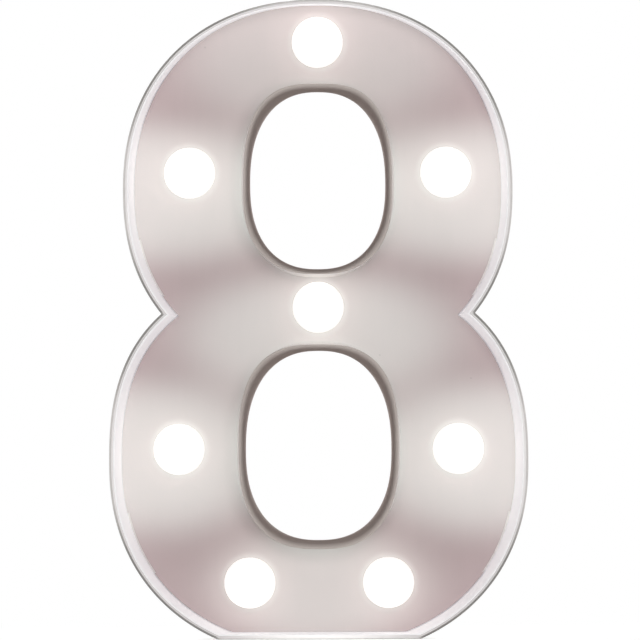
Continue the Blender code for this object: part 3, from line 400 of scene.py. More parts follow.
def bore_oval(counter, y, margin=0.0):
    """The inner surface of a counter's sleeve at a depth, grown by a margin."""
    lift = counter.lift
    back = counter.lip.drawn_in(COUNTER_TAPER, COUNTER_TAPER + lift, COUNTER_TAPER - lift)
    back = back._replace(level=back.level + lift, powers=COUNTER_BACK_POWERS)
    front = counter.lip.grown(-LIP_THICKNESS)
    return front.blended(back, (y - FRONT) / DEPTH).grown(margin)


def bore(counter, y, margin=0.0):
    return bore_oval(counter, y, margin).loop(COUNTER_POINTS)


def circle(x, z, radius, count=ROUND_POINTS, start=0.0, turn=2 * math.pi):
    """Points along an arc, or all the way round."""
    ends = 0 if turn == 2 * math.pi else 1
    angles = [start + turn * i / (count - ends) for i in range(count)]
    return [Vector((x + radius * math.cos(a), z + radius * math.sin(a))) for a in angles]


def rounded_box(left, right, bottom, top, corner):
    """A rectangle with rounded corners, anticlockwise from its upper right."""
    points = []
    for i, (x, z) in enumerate(((right, top), (left, top), (left, bottom), (right, bottom))):
        inward = Vector((-corner if x == right else corner, -corner if z == top else corner))
        centre = Vector((x, z)) + inward
        points += circle(*centre, corner, CORNER_STEPS + 1, math.pi / 2 * i, math.pi / 2)
    return points


def signed_area(loop):
    return sum(a.x * b.y - b.x * a.y for a, b in zip(loop[-1:] + loop[:-1], loop)) / 2


def grown(loop, margin):
    """The loop moved outwards by a margin, with mitred corners."""
    way = math.copysign(margin, signed_area(loop))
    result = []
    for before, here, after in zip(loop[-1:] + loop[:-1], loop, loop[1:] + loop[:1]):
        first = (here - before).normalized()
        second = (after - here).normalized()
        normal = Vector((first.y + second.y, -first.x - second.x)) / (1 + first.dot(second))
        result.append(here + normal * way)
    return result


def quarter_round(radius, depth=None, steps=CORNER_STEPS):
    """Steps round a corner from a face to a side: how far in from the side, and how deep."""
    angles = steps_between(0, math.pi / 2, steps)
    deep = radius if depth is None else depth
    return [(radius * (1 - math.sin(a)), deep * (1 - math.cos(a))) for a in angles]


def arc(out, up, radius, start, end, steps):
    """Steps of a turned profile along an arc about a point."""
    angles = steps_between(start, end, steps)
    return [(out + radius * math.cos(a), up + radius * math.sin(a)) for a in angles]


def rounded_edge(loop, start, end, rounding, into=-1):
    """Loops down a plate's edge with both of its corners rounded: into is 1 for a hole."""
    way = math.copysign(1, end - start)
    corner = [(grown(loop, into * out), down * way) for out, down in quarter_round(rounding)]
    first = [(drawn, start + down) for drawn, down in corner]
    last = [(drawn, end - down) for drawn, down in corner]
    return first + last[::-1]


def countersunk(well, hole, floor, rounding):
    """A hole through a cover, with a wider well before it that has a rounded mouth."""
    mouth = [(grown(well, out), BACK - down) for out, down in quarter_round(rounding)]
    return mouth + [(well, floor), (hole, floor), (hole, COVER_FRONT)]


def pocket(loop, face, draw, depth):
    """A blind pocket that narrows towards its floor."""
    return [(loop, face), (grown(loop, -draw), face - depth)]


def add_rows(bm, stations, closed=False, finishes=None):
    """A skin through matching outlines, given as (outline, y), and its rows of corners.

    Finishes name the bands between outlines that have another material than the first.
    """
    rows = [[bm.verts.new((point.x, y, point.y)) for point in outline] for outline, y in stations]
    return skin(bm, rows, rows[1:] + rows[:1] if closed else rows[1:], finishes)


def skin(bm, rows, following, finishes=None):
    """Joins each row of corners to the one that follows it. A row of one is a tip."""
    for band, (row, beyond) in enumerate(zip(rows, following)):
        for i in range(max(len(row), len(beyond))):
            near = (row[(i - 1) % len(row)], row[i % len(row)])
            far = (beyond[i % len(beyond)], beyond[(i - 1) % len(beyond)])
            face = bm.faces.new(tuple(dict.fromkeys(near + far)))
            face.material_index = (finishes or {}).get(band, 0)
    return rows


def fill(bm, rows, finish=0):
    """A flat face inside the first row, with the other rows as its holes."""
    edges = []
    for row in rows:
        for i, corner in enumerate(row):
            pair = (row[i - 1], corner)
            edges.append(bm.edges.get(pair) or bm.edges.new(pair))
    filled = bmesh.ops.triangle_fill(bm, edges=edges, use_beauty=True, normal=(0, -1, 0))
    for part in filled["geom"]:
        if isinstance(part, bmesh.types.BMFace):
            part.material_index = finish


def add_plate(bm, borders, pockets=(), pocket_finish=0):
    """A plate from its border's and holes' stations, and blind pockets in its outer face."""
    sides = [add_rows(bm, stations) for stations in borders]
    wells = [add_rows(bm, stations, finishes={0: pocket_finish}) for stations in pockets]
    fill(bm, [rows[0] for rows in sides + wells])
    fill(bm, [rows[-1] for rows in sides])
    for rows in wells:
        fill(bm, [rows[-1]], pocket_finish)


def add_turned(bm, profile, sides, place=Matrix(), finishes=None):
    """A solid turned about Z from (radius, height) pairs, whose ends may lie on the axis."""
    rows = []
    for radius, height in profile:
        points = circle(0, 0, radius, sides) if radius > MERGE else [Vector((0, 0))]
        rows.append([bm.verts.new(place @ Vector((*point, height))) for point in points])
    skin(bm, rows, rows[1:], finishes)


def facing(way, x, z, y):
    """Places a shape turned about Z so that its top looks along Y: -1 front, 1 back."""
    return Matrix.Translation((x, y, z)) @ Matrix.Rotation(-way * math.pi / 2, 4, "X")


def linked(name, data):
    """A new object in the scene."""
    thing = bpy.data.objects.new(name, data)
    bpy.context.scene.collection.objects.link(thing)
    return thing


def mesh_from(name, bm, materials):
    mesh = bpy.data.meshes.new(name)
    bm.to_mesh(mesh)
    bm.free()
    for material in materials:
        mesh.materials.append(material)
    return mesh


def smooth(mesh):
    mesh.shade_smooth()
    mesh.set_sharp_from_angle(angle=math.radians(SHARP_ANGLE))


def finish_piece(name, bm, materials, node, slot, body="housing"):
    """Makes a mesh a piece that rides on a body and stands for its node."""
    bmesh.ops.recalc_face_normals(bm, faces=bm.faces)
    mesh = mesh_from(name, bm, materials)
    smooth(mesh)
    settle(name, mesh, body, slot, node)


def settle(name, data, body, slot, *nodes):
    """Makes data a piece that rides on a body, and hides the nodes that it replaces. The slot is not
    used.
    """
    piece = linked(name, data)
    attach(piece, body)
    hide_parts(*nodes)


def middle_of(node):
    low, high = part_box(node)
    return (low + high) / 2


def dress(material, *nodes):
    """Gives nodes that keep their own shape their finish."""
    for node in nodes:
        mesh = frame["nodes"][node].data
        mesh.materials.clear()
        mesh.materials.append(material)
        smooth(mesh)


class Wires:
    """Adds shader nodes to a tree and joins their sockets."""

    def __init__(self, tree):
        self.tree = tree

    def add(self, kind, inputs=None, output=0, **settings):
        """Adds a node and returns its output of that name or number, or all where it is None."""
        node = self.tree.nodes.new("ShaderNode" + kind)
        for key, value in settings.items():
            setattr(node, key, value)
        for key, value in (inputs or {}).items():
            self.put(node.inputs[key], value)
        return node.outputs if output is None else node.outputs[output]

    def put(self, socket, value):
        if isinstance(value, bpy.types.NodeSocket):
            self.tree.links.new(value, socket)
        elif socket.type == "RGBA":
            socket.default_value = (*value, 1.0)
        else:
            socket.default_value = value

    def maths(self, operation, *values):
        return self.add("Math", dict(enumerate(values)), operation=operation)

    def scaled(self, vector, factor):
        return self.add("VectorMath", {0: vector, "Scale": factor}, operation="SCALE")

    def stretched(self, vector, factors):
        return self.add("VectorMath", {0: vector, 1: factors}, operation="MULTIPLY")

    def ranged(self, value, low, high, new_low=0.0, new_high=1.0):
        return self.add("MapRange", dict(enumerate((value, low, high, new_low, new_high))))

    def mixed(self, share, first, second):
        return self.add("Mix", {0: share, 6: first, 7: second}, 2, data_type="RGBA")

    def lightened(self, colour, value):
        return self.add("HueSaturation", {"Color": colour, "Value": value})

    def noise(self, vector, scale, detail=3.0, rough=0.5):
        inputs = {"Vector": vector, "Scale": scale, "Detail": detail, "Roughness": rough}
        return self.add("TexNoise", inputs)

    def bump(self, height, distance):
        return self.add("Bump", {"Height": height, "Distance": distance})

    def place(self):
        return self.add("TexCoord", output="Object")

    def axes(self, vector=None):
        return self.add("SeparateXYZ", {0: vector or self.place()}, None)

    def group(self, name, **inputs):
        return self.add("Group", inputs, None, node_tree=bpy.data.node_groups[name])

    def resin(self, colour, drift=0.03, streaks=0.0, specks=0.0):
        inputs = {"Colour": colour, "Drift": drift, "Streaks": streaks, "Specks": specks}
        return self.group("Resin Tone", **inputs)["Colour"]


class Surface(Wires):
    """The shader nodes of a material."""

    def __init__(self, material):
        super().__init__(material.node_tree)
        self.material = material
        self.shader = self.tree.nodes["Principled BSDF"]

    def set(self, values):
        """Gives the shader's sockets their values, and returns the material."""
        for name, value in values.items():
            self.put(self.shader.inputs[name], value)
        return self.material

    def feed(self, name):
        """The socket that feeds one of the shader's."""
        return self.shader.inputs[name].links[0].from_socket

    def recolour(self, share, first, second):
        """Lets the resin's colour run from one to another."""
        tone = self.feed("Base Color").node.inputs["Colour"]
        self.put(tone, self.mixed(share, first, second))


def new_surface(name):
    material = bpy.data.materials.new(name)
    material.use_nodes = True
    return Surface(material)


def new_group(name, inputs, outputs):
    """A shader node group with named sockets, its wires and the sockets inside."""
    tree = bpy.data.node_groups.new(name, "ShaderNodeTree")
    kinds = {float: "NodeSocketFloat", tuple: "NodeSocketColor"}
    for label, default in inputs.items():
        socket = tree.interface.new_socket(label, in_out="INPUT", socket_type=kinds[type(default)])
        socket.default_value = (*default, 1.0) if type(default) is tuple else default
    for label, kind in outputs.items():
        tree.interface.new_socket(label, in_out="OUTPUT", socket_type=kinds[kind])
    given = tree.nodes.new("NodeGroupInput").outputs
    result = tree.nodes.new("NodeGroupOutput").inputs
    return Wires(tree), given, result


def build_resin_tone():
    """Moulded resin: a slow drift of tone, faint flow streaks and a few dark specks."""
    inputs = {"Colour": WHITE, "Drift": 0.03, "Streaks": 0.02, "Specks": 0.3}
    wires, given, result = new_group("Resin Tone", inputs, {"Colour": tuple})
    place = wires.place()
    drift = wires.maths("SUBTRACT", wires.noise(place, DRIFT_SCALE), 0.5)
    streak = wires.noise(wires.stretched(place, STREAK_SCALES), 1.0, detail=2.0)
    streak = wires.maths("SUBTRACT", streak, 0.5)
    level = wires.maths("MULTIPLY_ADD", drift, given["Drift"], 1.0)
    level = wires.maths("MULTIPLY_ADD", streak, given["Streaks"], level)
    cells = wires.add("TexVoronoi", {"Vector": place, "Scale": SPECK_SCALE}, None)
    chosen = wires.ranged(cells["Color"], *SPECK_CHOICE)
    near = wires.ranged(cells["Distance"], *SPECK_EDGE, 1.0, 0.0)
    speck = wires.maths("MULTIPLY", wires.maths("MULTIPLY", chosen, near), given["Specks"])
    toned = wires.lightened(given["Colour"], level)
    wires.put(result["Colour"], wires.mixed(speck, toned, SPECK_COLOUR))


def build_moulded_grain():
    """The texture of a mould: fine grain over long, slow waves, and a slow change of gloss."""
    inputs = {"Grain": GRAIN_SCALE, "Waves": GRAIN_WAVES}
    wires, given, result = new_group("Moulded Grain", inputs, {"Height": float, "Dulling": float})
    place = wires.place()
    fine = wires.noise(place, given["Grain"], detail=2.0, rough=0.6)
    slow = wires.noise(place, WAVE_SCALE, detail=1.0)
    wires.put(result["Height"], wires.maths("MULTIPLY_ADD", slow, given["Waves"], fine))
    dulling = wires.ranged(wires.noise(place, DULLING_SCALE), *NOISE_SPAN, -0.5, 0.5)
    wires.put(result["Dulling"], dulling)


def face_patches():
    """The soft patches of light on the face: x, z, width, height, steepness and share."""
    patches = []
    for number, patch in zip(BULBS, PATCHES):
        lamp = middle_of(f"bulb_cap_{number}")
        side = math.copysign(abs(lamp.x) > MERGE, lamp.x)
        centre = (lamp.x + patch.outward * side, lamp.z - patch.drop)
        patches.append((*centre, patch.width, patch.height, PATCH_STEEPNESS, patch.share))
        halo = (HALO_RADIUS, HALO_RADIUS, HALO_STEEPNESS, HALO_SHARE)
        patches.append((lamp.x, lamp.z, *halo))
    for counter in COUNTERS:
        lip = counter.lip
        middle = lip.level + (lip.rise - lip.drop) / 2
        size = (lip.half_width + BOUNCE_REACH, (lip.rise + lip.drop) / 2 + BOUNCE_REACH)
        patches.append((0.0, middle, *size, BOUNCE_STEEPNESS, BOUNCE_SHARE))
    return patches


def build_bulb_glow():
    """Painted light: the bulbs' light on and through the plastic around them, as soft glowing patches.
    """
    wires, given, result = new_group("Bulb Glow", {"Tint": WHITE}, {"Light": tuple})
    place = wires.axes()
    total = 0.0
    for x, z, width, height, steepness, share in face_patches():
        across = wires.maths("DIVIDE", wires.maths("SUBTRACT", place["X"], x), width)
        up = wires.maths("DIVIDE", wires.maths("SUBTRACT", place["Z"], z), height)
        square = wires.maths("MULTIPLY_ADD", across, across, wires.maths("MULTIPLY", up, up))
        steep = wires.maths("POWER", square, steepness)
        fall = wires.maths("EXPONENT", wires.maths("MULTIPLY", steep, -1.0))
        total = wires.maths("MULTIPLY_ADD", fall, share, total)
    wires.put(result["Light"], wires.scaled(given["Tint"], total))


def build_plated_metal():
    """Plated metal: fine turning marks and a slow change of tone and gloss."""
    inputs = {"Colour": WHITE, "Roughness": 0.3}
    outputs = {"Colour": tuple, "Roughness": float, "Height": float}
    wires, given, result = new_group("Plated Metal", inputs, outputs)
    place = wires.place()
    blotches = wires.noise(place, BLOTCH_SCALE)
    level = wires.ranged(blotches, *NOISE_SPAN, *BLOTCH_TONE)
    wires.put(result["Colour"], wires.lightened(given["Colour"], level))
    dulling = wires.ranged(blotches, *NOISE_SPAN, *BLOTCH_DULLING)
    wires.put(result["Roughness"], wires.maths("MULTIPLY", dulling, given["Roughness"]))
    marks = wires.noise(wires.stretched(place, TURNING_SCALES), 1.0, detail=2.0)
    wires.put(result["Height"], marks)


def moulded(name, colour, roughness, grain=GRAIN_SCALE, bump=GRAIN_BUMP, drift=0.03,
            streaks=0.02, specks=0.3, specular=0.5, glow=0.0, tint=WHITE):
    """A moulded plastic, which may catch the light of the bulbs."""
    surface = new_surface(name)
    mould = surface.group("Moulded Grain", Grain=grain, Waves=GRAIN_WAVES)
    if glow:
        light = surface.group("Bulb Glow", Tint=tint)["Light"]
        surface.set({"Emission Color": light, "Emission Strength": glow})
    return surface.set({
        "Base Color": surface.resin(colour, drift, streaks, specks),
        "Roughness": surface.maths("MULTIPLY_ADD", mould["Dulling"], DULLING, roughness),
        "Normal": surface.bump(mould["Height"], bump),
        "Specular IOR Level": specular,
    })


def lit_evenly(material, light, strength):
    """Makes a wall beside the bulbs give back some of their light all over."""
    Surface(material).set({"Emission Color": light, "Emission Strength": strength})


def plated(name, colour, roughness):
    """A plated metal part."""
    surface = new_surface(name)
    metal = surface.group("Plated Metal", Colour=colour, Roughness=roughness)
    return surface.set({
        "Base Color": metal["Colour"],
        "Roughness": metal["Roughness"],
        "Normal": surface.bump(metal["Height"], TURNING_BUMP),
        "Metallic": 1.0,
    })


def frosted(finish):
    """A lit, frosted bulb: brightest over its lamp and duller towards its neck."""
    surface = new_surface("Frosted Bulb")
    frost = surface.group("Moulded Grain", Grain=FROST_SCALE, Waves=FROST_WAVES)
    low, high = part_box("bulb_cap_1")
    radius = (high.x - low.x) / 2
    middle = low.y + radius
    start, end = middle - radius * LIMB_START, middle - radius * LIMB_END
    share = surface.ranged(surface.axes()["Y"], start, end, LIMB_LIGHT, 1.0)
    return surface.set({
        "Base Color": surface.resin(finish.bulb_colour, drift=0.02),
        "Roughness": 0.32,
        "Normal": surface.bump(frost["Height"], FROST_BUMP),
        "Emission Color": surface.scaled(finish.bulb_light, share),
        "Emission Strength": finish.bulb_strength,
    })


def rim_stations(edge, lip):
    """Outlines round the rim's wall: its back corner, front edge and lip, then its inside."""
    ledge_front = FACE_FRONT + FACE_THICKNESS + GAP
    ledge_back = ledge_front + LEDGE_THICKNESS
    behind = widened(FACE_BANDS, LEDGE_WIDTH)
    rebate = COVER_FRONT - GAP
    rebate_wall = even(BACK_DRAFT + COVER_REBATE_WALL)
    draft = BACK_DRAFT * (FACE_FRONT - FRONT) / DEPTH
    corner, front, inner = map(quarter_round, (BACK_ROUNDING, edge, lip))
    stations = [(even(BACK_DRAFT + out, out), BACK - down) for out, down in corner]
    stations += [(even(out, out * FOOT_ROUNDING), FRONT + down) for out, down in reversed(front)]
    stations += [(even(LIP_THICKNESS - out), FRONT + down) for out, down in inner]
    stations += [
        (FACE_BANDS, ledge_front),
        (behind, ledge_front),
        (behind, ledge_back),
        (even(draft + RIM_WALL), ledge_back),
        (even(BACK_DRAFT + RIM_WALL), rebate),
        (rebate_wall, rebate),
        (rebate_wall, BACK),
    ]
    return [(numeral(inset), y) for inset, y in stations]


def shade_edge(material, finish):
    """Paints shade on the rim's outer edge: darker where it runs aslant, at the diagonals, where less
    light falls.
    """
    surface = Surface(material)
    sideways = surface.stretched(surface.add("TexCoord", output="Normal"), (1.0, 0.0, 1.0))
    outward = surface.axes(surface.add("VectorMath", {0: sideways}, operation="NORMALIZE"))
    aslant = surface.maths("MULTIPLY", outward["X"], outward["Z"])
    aslant = surface.ranged(surface.maths("ABSOLUTE", aslant), *EDGE_SHADE_SLANT)
    surface.recolour(aslant, finish.edge_shade_colour, finish.aslant_edge_shade)


def lift_foot(material, times):
    """Gives the lip more light along the foot, where the lowest bulbs stand close to it."""
    surface = Surface(material)
    height = surface.axes()["Z"]
    scale = surface.ranged(height, LIP_THICKNESS, LIP_THICKNESS * 2, times, 1.0)
    surface.set({"Emission Color": surface.scaled(surface.feed("Emission Color"), scale)})


def build_rim(shape, finish):
    plain = dict(roughness=finish.roughness, specular=0.1, streaks=0.015, specks=0.15)
    lit = dict(glow=finish.rim_glow, tint=finish.bulb_light)
    outer = moulded("Rim White", finish.rim_colour, **plain)
    # The outer edge's colours are painted shade, a dark outline that is darkest at the diagonals
    edge = moulded("Shaded Edge", finish.edge_shade_colour, **plain)
    shade_edge(edge, finish)
    lip = moulded("Rim Lip", finish.rim_lip_colour, **plain, **lit)
    lift_foot(lip, finish.foot_lift)
    inner = moulded("Lit Wall", finish.rim_colour, **plain)
    lit_evenly(inner, finish.wall_light, finish.wall_glow)
    materials = (outer, edge, lip, inner)
    edge_start = CORNER_STEPS + 1
    lip_band = edge_start + CORNER_STEPS
    wall_end = lip_band + CORNER_STEPS + 2
    finishes = dict.fromkeys(range(edge_start, lip_band), materials.index(edge))
    finishes[lip_band] = materials.index(lip)
    finishes.update(dict.fromkeys(range(lip_band + 1, wall_end), materials.index(inner)))
    bm = bmesh.new()
    stations = rim_stations(shape.edge_radius, shape.lip_rounding)
    add_rows(bm, stations, closed=True, finishes=finishes)
    finish_piece("outer_rim_wall", bm, materials, "outer_rim", "shell_white")


def build_face(shape, finish):
    back = FACE_FRONT + FACE_THICKNESS
    rounding = shape.edge_rounding
    holes = [bore(counter, FACE_FRONT, SLEEVE_WALL + GAP) for counter in COUNTERS]
    for number in BULBS:
        lamp = middle_of(f"bulb_cap_{number}")
        holes.append(circle(lamp.x, lamp.z, NECK_RADIUS + GAP))
    outline = stepped(numeral(widened(FACE_BANDS, SEAM)))
    borders = [rounded_edge(outline, FACE_FRONT, back, rounding)]
    borders += [rounded_edge(hole, FACE_FRONT, back, rounding, into=1) for hole in holes]
    bm = bmesh.new()
    add_plate(bm, borders)
    material = moulded(
        "Face White", finish.face_colour, finish.roughness, specular=0.1,
        glow=finish.face_glow, tint=finish.glow_colour, drift=0.05, streaks=0.03, specks=0.6,
    )
    finish_piece("face_plate", bm, [material], "face_panel", "face_white")


def shaded_bore_material(finish):
    """The sleeves' plastic inside, browner and darker past its lip: painted shade deep in the
    counters.
    """
    colour = finish.bore_shade_colour
    material = moulded(
        "Shaded Sleeve Bore", colour, roughness=0.6, specular=0.0, streaks=0.03, specks=0.2
    )
    surface = Surface(material)
    depth = surface.ranged(surface.axes()["Y"], FRONT, FRONT + MOUTH_DEPTH)
    surface.recolour(depth, finish.lip_colour, colour)
    return material


def build_sleeves(shape, finish):
    # The outsides are toned greyer than the rim as painted shade beside the counters
    outside = moulded("Sleeve White", finish.outside_colour, finish.roughness, specular=0.1)
    lit_evenly(outside, finish.bulb_light, finish.sleeve_glow)
    materials = (outside, shaded_bore_material(finish))
    rounding = shape.edge_rounding
    seat = FACE_FRONT - GAP
    for counter in COUNTERS:
        stations = []
        for out, down in reversed(quarter_round(rounding)):
            stations.append((counter.crest.grown(-out).loop(COUNTER_POINTS), FRONT + down))
        inner_edge = counter.crest.grown(-rounding * CREST_TURN)
        for out, down in quarter_round(1, MOUTH_DEPTH, CORNER_STEPS * 3):
            mouth = bore_oval(counter, FRONT + down).blended(inner_edge, out)
            stations.append((mouth.loop(COUNTER_POINTS), FRONT + down))
        depths = steps_between(FRONT + MOUTH_DEPTH, BACK - BACK_ROUNDING, CORNER_STEPS)
        stations += [(bore(counter, y), y) for y in depths[1:-1]]
        for out, down in reversed(quarter_round(BACK_ROUNDING)):
            stations.append((bore(counter, BACK - down, out), BACK - down))
        inside = dict.fromkeys(range(len(stations) - 1), 1)
        stations += [
            (bore(counter, BACK, SLEEVE_WALL), BACK),
            (bore(counter, seat, SLEEVE_WALL), seat),
            (bore(counter, seat, SLEEVE_WALL + SLEEVE_SHOULDER), seat),
        ]
        bm = bmesh.new()
        add_rows(bm, stations, closed=True, finishes=inside)
        node = f"{counter.name}_counter_sleeve"
        finish_piece(f"{counter.name}_sleeve", bm, materials, node, "sleeve_white")


def build_bulbs(shape, finish):
    material = frosted(finish)
    low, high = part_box("bulb_cap_1")
    radius = (high.x - low.x) / 2
    centre = -(low.y + radius - FACE_FRONT)
    tail = -(high.y - FACE_FRONT)
    collar = GAP + FLANGE_THICKNESS
    rounding = shape.edge_rounding
    rim = NECK_RADIUS + FLANGE_WIDTH - rounding
    neck = NECK_RADIUS - CAP_WALL
    inner = radius - CAP_WALL
    root = -math.acos(neck / inner)
    foot = -math.asin((centre - collar) / radius)
    quarter = math.pi / 2
    profile = [(0.0, centre + inner)]
    profile += arc(0, centre, inner, quarter, root, GLOBE_POINTS // 4)[1:]
    profile += [(neck, tail), (NECK_RADIUS, tail), (NECK_RADIUS, GAP)]
    profile += arc(rim, GAP + rounding, rounding, -quarter, 0, CORNER_STEPS)[:-1]
    profile += arc(rim, collar - rounding, rounding, 0, quarter, CORNER_STEPS)
    profile += arc(0, centre, radius, foot, quarter, GLOBE_POINTS // 2)[:-1]
    profile.append((0.0, centre + radius))
    for number in BULBS:
        node = f"bulb_cap_{number}"
        middle = middle_of(node)
        bm = bmesh.new()
        add_turned(bm, profile, GLOBE_POINTS, facing(-1, middle.x, middle.z, FACE_FRONT))
        finish_piece(f"bulb_{number}", bm, [material], node, "bulb_frosted")


def door_opening():
    """The opening in the back cover, with a notch at each side for a hinge pin."""
    low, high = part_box("battery_door")
    middle = (low.x + high.x) / 2
    ear = high.x - middle + DOOR_GAP
    half = ear - DOOR_PIN_LENGTH
    foot, top = low.z - DOOR_GAP, high.z + DOOR_GAP
    notch = hinge().z - DOOR_PIN_RADIUS - GAP
    right = [(half, foot), (half, notch), (ear, notch), (ear, top)]
    left = [(-x, z) for x, z in right]
    return [Vector((middle + x, z)) for x, z in left[:1] + right + left[:0:-1]]


def hinge():
    joints = {joint["name"]: joint for joint in frame["joints"]}
    return Vector(joints["battery_door_hinge"]["pos_m"])


def keyhole():
    """A round entry with a narrower slot above it."""
    hook = COVER_HIGH.z - KEYHOLE_MARGIN - KEYHOLE_SLOT_RADIUS
    meet = math.acos(KEYHOLE_SLOT_RADIUS / KEYHOLE_RADIUS)
    around = (ROUND_POINTS, math.pi - meet, math.pi + meet * 2)
    entry = circle(0, hook - KEYHOLE_RISE, KEYHOLE_RADIUS, *around)
    slot = circle(0, hook, KEYHOLE_SLOT_RADIUS, ROUND_POINTS // 2, 0, math.pi)
    return entry + slot


def screw_well(node, rounding):
    """A screw's hole through a cover, with a round well for its head."""
    middle = middle_of(node)
    well = circle(middle.x, middle.z, SCREW_HEAD_RADIUS + GAP)
    hole = circle(middle.x, middle.z, SCREW_HOLE_RADIUS)
    return countersunk(well, hole, BACK - SCREW_HEAD_HEIGHT - GAP, rounding)


def switch_slot():
    """The slot in the back cover in which the switch's knob slides: left, right, foot, top."""
    low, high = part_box("switch_knob")
    return low.x - KNOB_TRAVEL - GAP, high.x + GAP, low.z - GAP, high.z + GAP


def build_cover(shape, finish):
    rounding = shape.edge_rounding
    outline = numeral(even(BACK_DRAFT + COVER_REBATE_WALL + GAP))
    holes = [bore(counter, COVER_FRONT, SLEEVE_WALL + GAP) for counter in COUNTERS]
    holes += [door_opening(), keyhole()]
    borders = [rounded_edge(outline, BACK, COVER_FRONT, rounding)]
    borders += [rounded_edge(hole, BACK, COVER_FRONT, rounding, into=1) for hole in holes]
    borders += [screw_well(f"cover_screw_{number}", rounding) for number in COVER_SCREWS]
    left, right, foot, top = switch_slot()
    window = rounded_box(left, right, foot, top, GAP)
    reach = WELL_MARGIN
    well = rounded_box(left - reach, right + reach, foot - reach, top + reach, WELL_CORNER)
    borders.append(countersunk(well, window, BACK - WELL_DEPTH, rounding))
    bm = bmesh.new()
    add_plate(bm, borders)
    material = moulded(
        "Back White", finish.back_colour, finish.back_roughness, grain=finish.back_grain,
        bump=BACK_BUMP, specks=0.2,
    )
    finish_piece("back_plate", bm, [material], "back_cover", "back_white")
    ink = moulded("Letter Ink", finish.letter_colour, roughness=0.6, specks=0.0)
    middle, level = (left + right) / 2, (foot + top) / 2
    add_word("ON", middle + LETTER_MARGIN, level, "RIGHT", ink)
    add_word("OFF", middle - LETTER_MARGIN, level, "LEFT", ink)


def add_word(word, x, level, align, material):
    """A raised word beside the switch, read from behind."""
    text = bpy.data.curves.new(f"switch_word_{word}", "FONT")
    text.body = word
    text.size = LETTER_HEIGHT
    text.extrude = LETTER_RELIEF
    text.bevel_depth = LETTER_RELIEF / 4
    text.align_x = align
    text.align_y = "CENTER"
    writing = linked("writing", text)
    bpy.context.view_layer.update()
    mesh = bpy.data.meshes.new_from_object(writing)
    bpy.data.objects.remove(writing)
    turn = Matrix.Rotation(math.pi, 4, "Z") @ Matrix.Rotation(math.pi / 2, 4, "X")
    mesh.transform(Matrix.Translation((x, BACK, level)) @ turn)
    mesh.materials.clear()
    mesh.materials.append(material)
    settle(f"switch_word_{word.lower()}", mesh, "housing", "back_white")


def build_door(shape):
    rounding = shape.edge_rounding
    low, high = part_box("battery_door")
    pivot = hinge()
    left, right = low.x + DOOR_PIN_LENGTH, high.x - DOOR_PIN_LENGTH
    outline = rounded_box(left, right, low.z, pivot.z, DOOR_CORNER)
    borders = [rounded_edge(outline, BACK, COVER_FRONT, rounding)]
    borders.append(screw_well("door_screw", rounding))
    middle = (left + right) / 2
    grip_sides = (middle - GRIP_WIDTH / 2, middle + GRIP_WIDTH / 2)
    pockets = []
    for i in range(GRIP_COUNT):
        level = low.z + GRIP_RISE + GRIP_SPACING * i
        ends = (level - GRIP_HALF_HEIGHT, level + GRIP_HALF_HEIGHT)
        groove = rounded_box(*grip_sides, *ends, GRIP_CORNER)
        pockets.append(pocket(groove, BACK, GRIP_HALF_HEIGHT / 2, GRIP_DEPTH))
    tip = low.z + ARROW_RISE
    arrow = [
        Vector((middle, tip)),
        Vector((middle + ARROW_HALF_WIDTH, tip + ARROW_HEIGHT)),
        Vector((middle - ARROW_HALF_WIDTH, tip + ARROW_HEIGHT)),
    ]
    pockets.append(pocket(arrow, BACK, GRIP_DEPTH / 2, GRIP_DEPTH))
    bm = bmesh.new()
    add_plate(bm, borders, pockets)
    barrel = (BACK - COVER_FRONT) / 2
    sideways = Matrix.Translation((left, pivot.y, pivot.z)) @ Matrix.Rotation(math.pi / 2, 4, "Y")
    profile = [(0.0, -DOOR_PIN_LENGTH), (DOOR_PIN_RADIUS, -DOOR_PIN_LENGTH), (DOOR_PIN_RADIUS, 0.0)]
    profile += [(barrel - rounding, 0.0), (barrel, rounding)]
    profile += [(radius, right - left - height) for radius, height in reversed(profile)]
    add_turned(bm, profile, ROUND_POINTS, sideways)
    material = bpy.data.materials["Back White"]
    finish_piece("door_panel", bm, [material], "battery_door", "back_white", "battery_door")


def cross(x, z, reach, half):
    """A cross-shaped outline for a screwdriver's recess."""
    points = []
    for i in range(4):
        turn = Matrix.Rotation(math.pi / 2 * i, 2)
        for corner in ((half, half), (half, reach), (-half, reach)):
            points.append(turn @ Vector(corner) + Vector((x, z)))
    return points


def build_screws(finish):
    steel = plated("Zinc Plated Steel", finish.screw_colour, roughness=0.42)
    # The near-black steel in the cross recesses is painted shade
    shade = plated("Shaded Recess Steel", finish.recess_shade_colour, roughness=0.6)
    nodes = [(f"cover_screw_{number}", "housing") for number in COVER_SCREWS]
    for node, body in nodes + [("door_screw", "battery_door")]:
        low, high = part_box(node)
        x, z = (low.x + high.x) / 2, (low.z + high.z) / 2
        top = high.y
        seat = BACK - SCREW_HEAD_HEIGHT
        stations = [
            (circle(x, z, SCREW_HEAD_RADIUS - out), top - down)
            for out, down in quarter_round(SCREW_HEAD_ROUNDING)
        ]
        shank = ((SCREW_HEAD_RADIUS, seat), (SCREW_RADIUS, seat), (SCREW_RADIUS, low.y))
        stations += [(circle(x, z, radius), y) for radius, y in shank]
        recess = cross(x, z, RECESS_REACH, RECESS_HALF_SLOT)
        bottom = cross(x, z, RECESS_REACH * RECESS_TAPER, RECESS_HALF_SLOT)
        bm = bmesh.new()
        add_plate(bm, [stations], [[(recess, top), (bottom, top - RECESS_DEPTH)]], pocket_finish=1)
        finish_piece(f"{node}_head", bm, (steel, shade), node, "screw_steel", body)


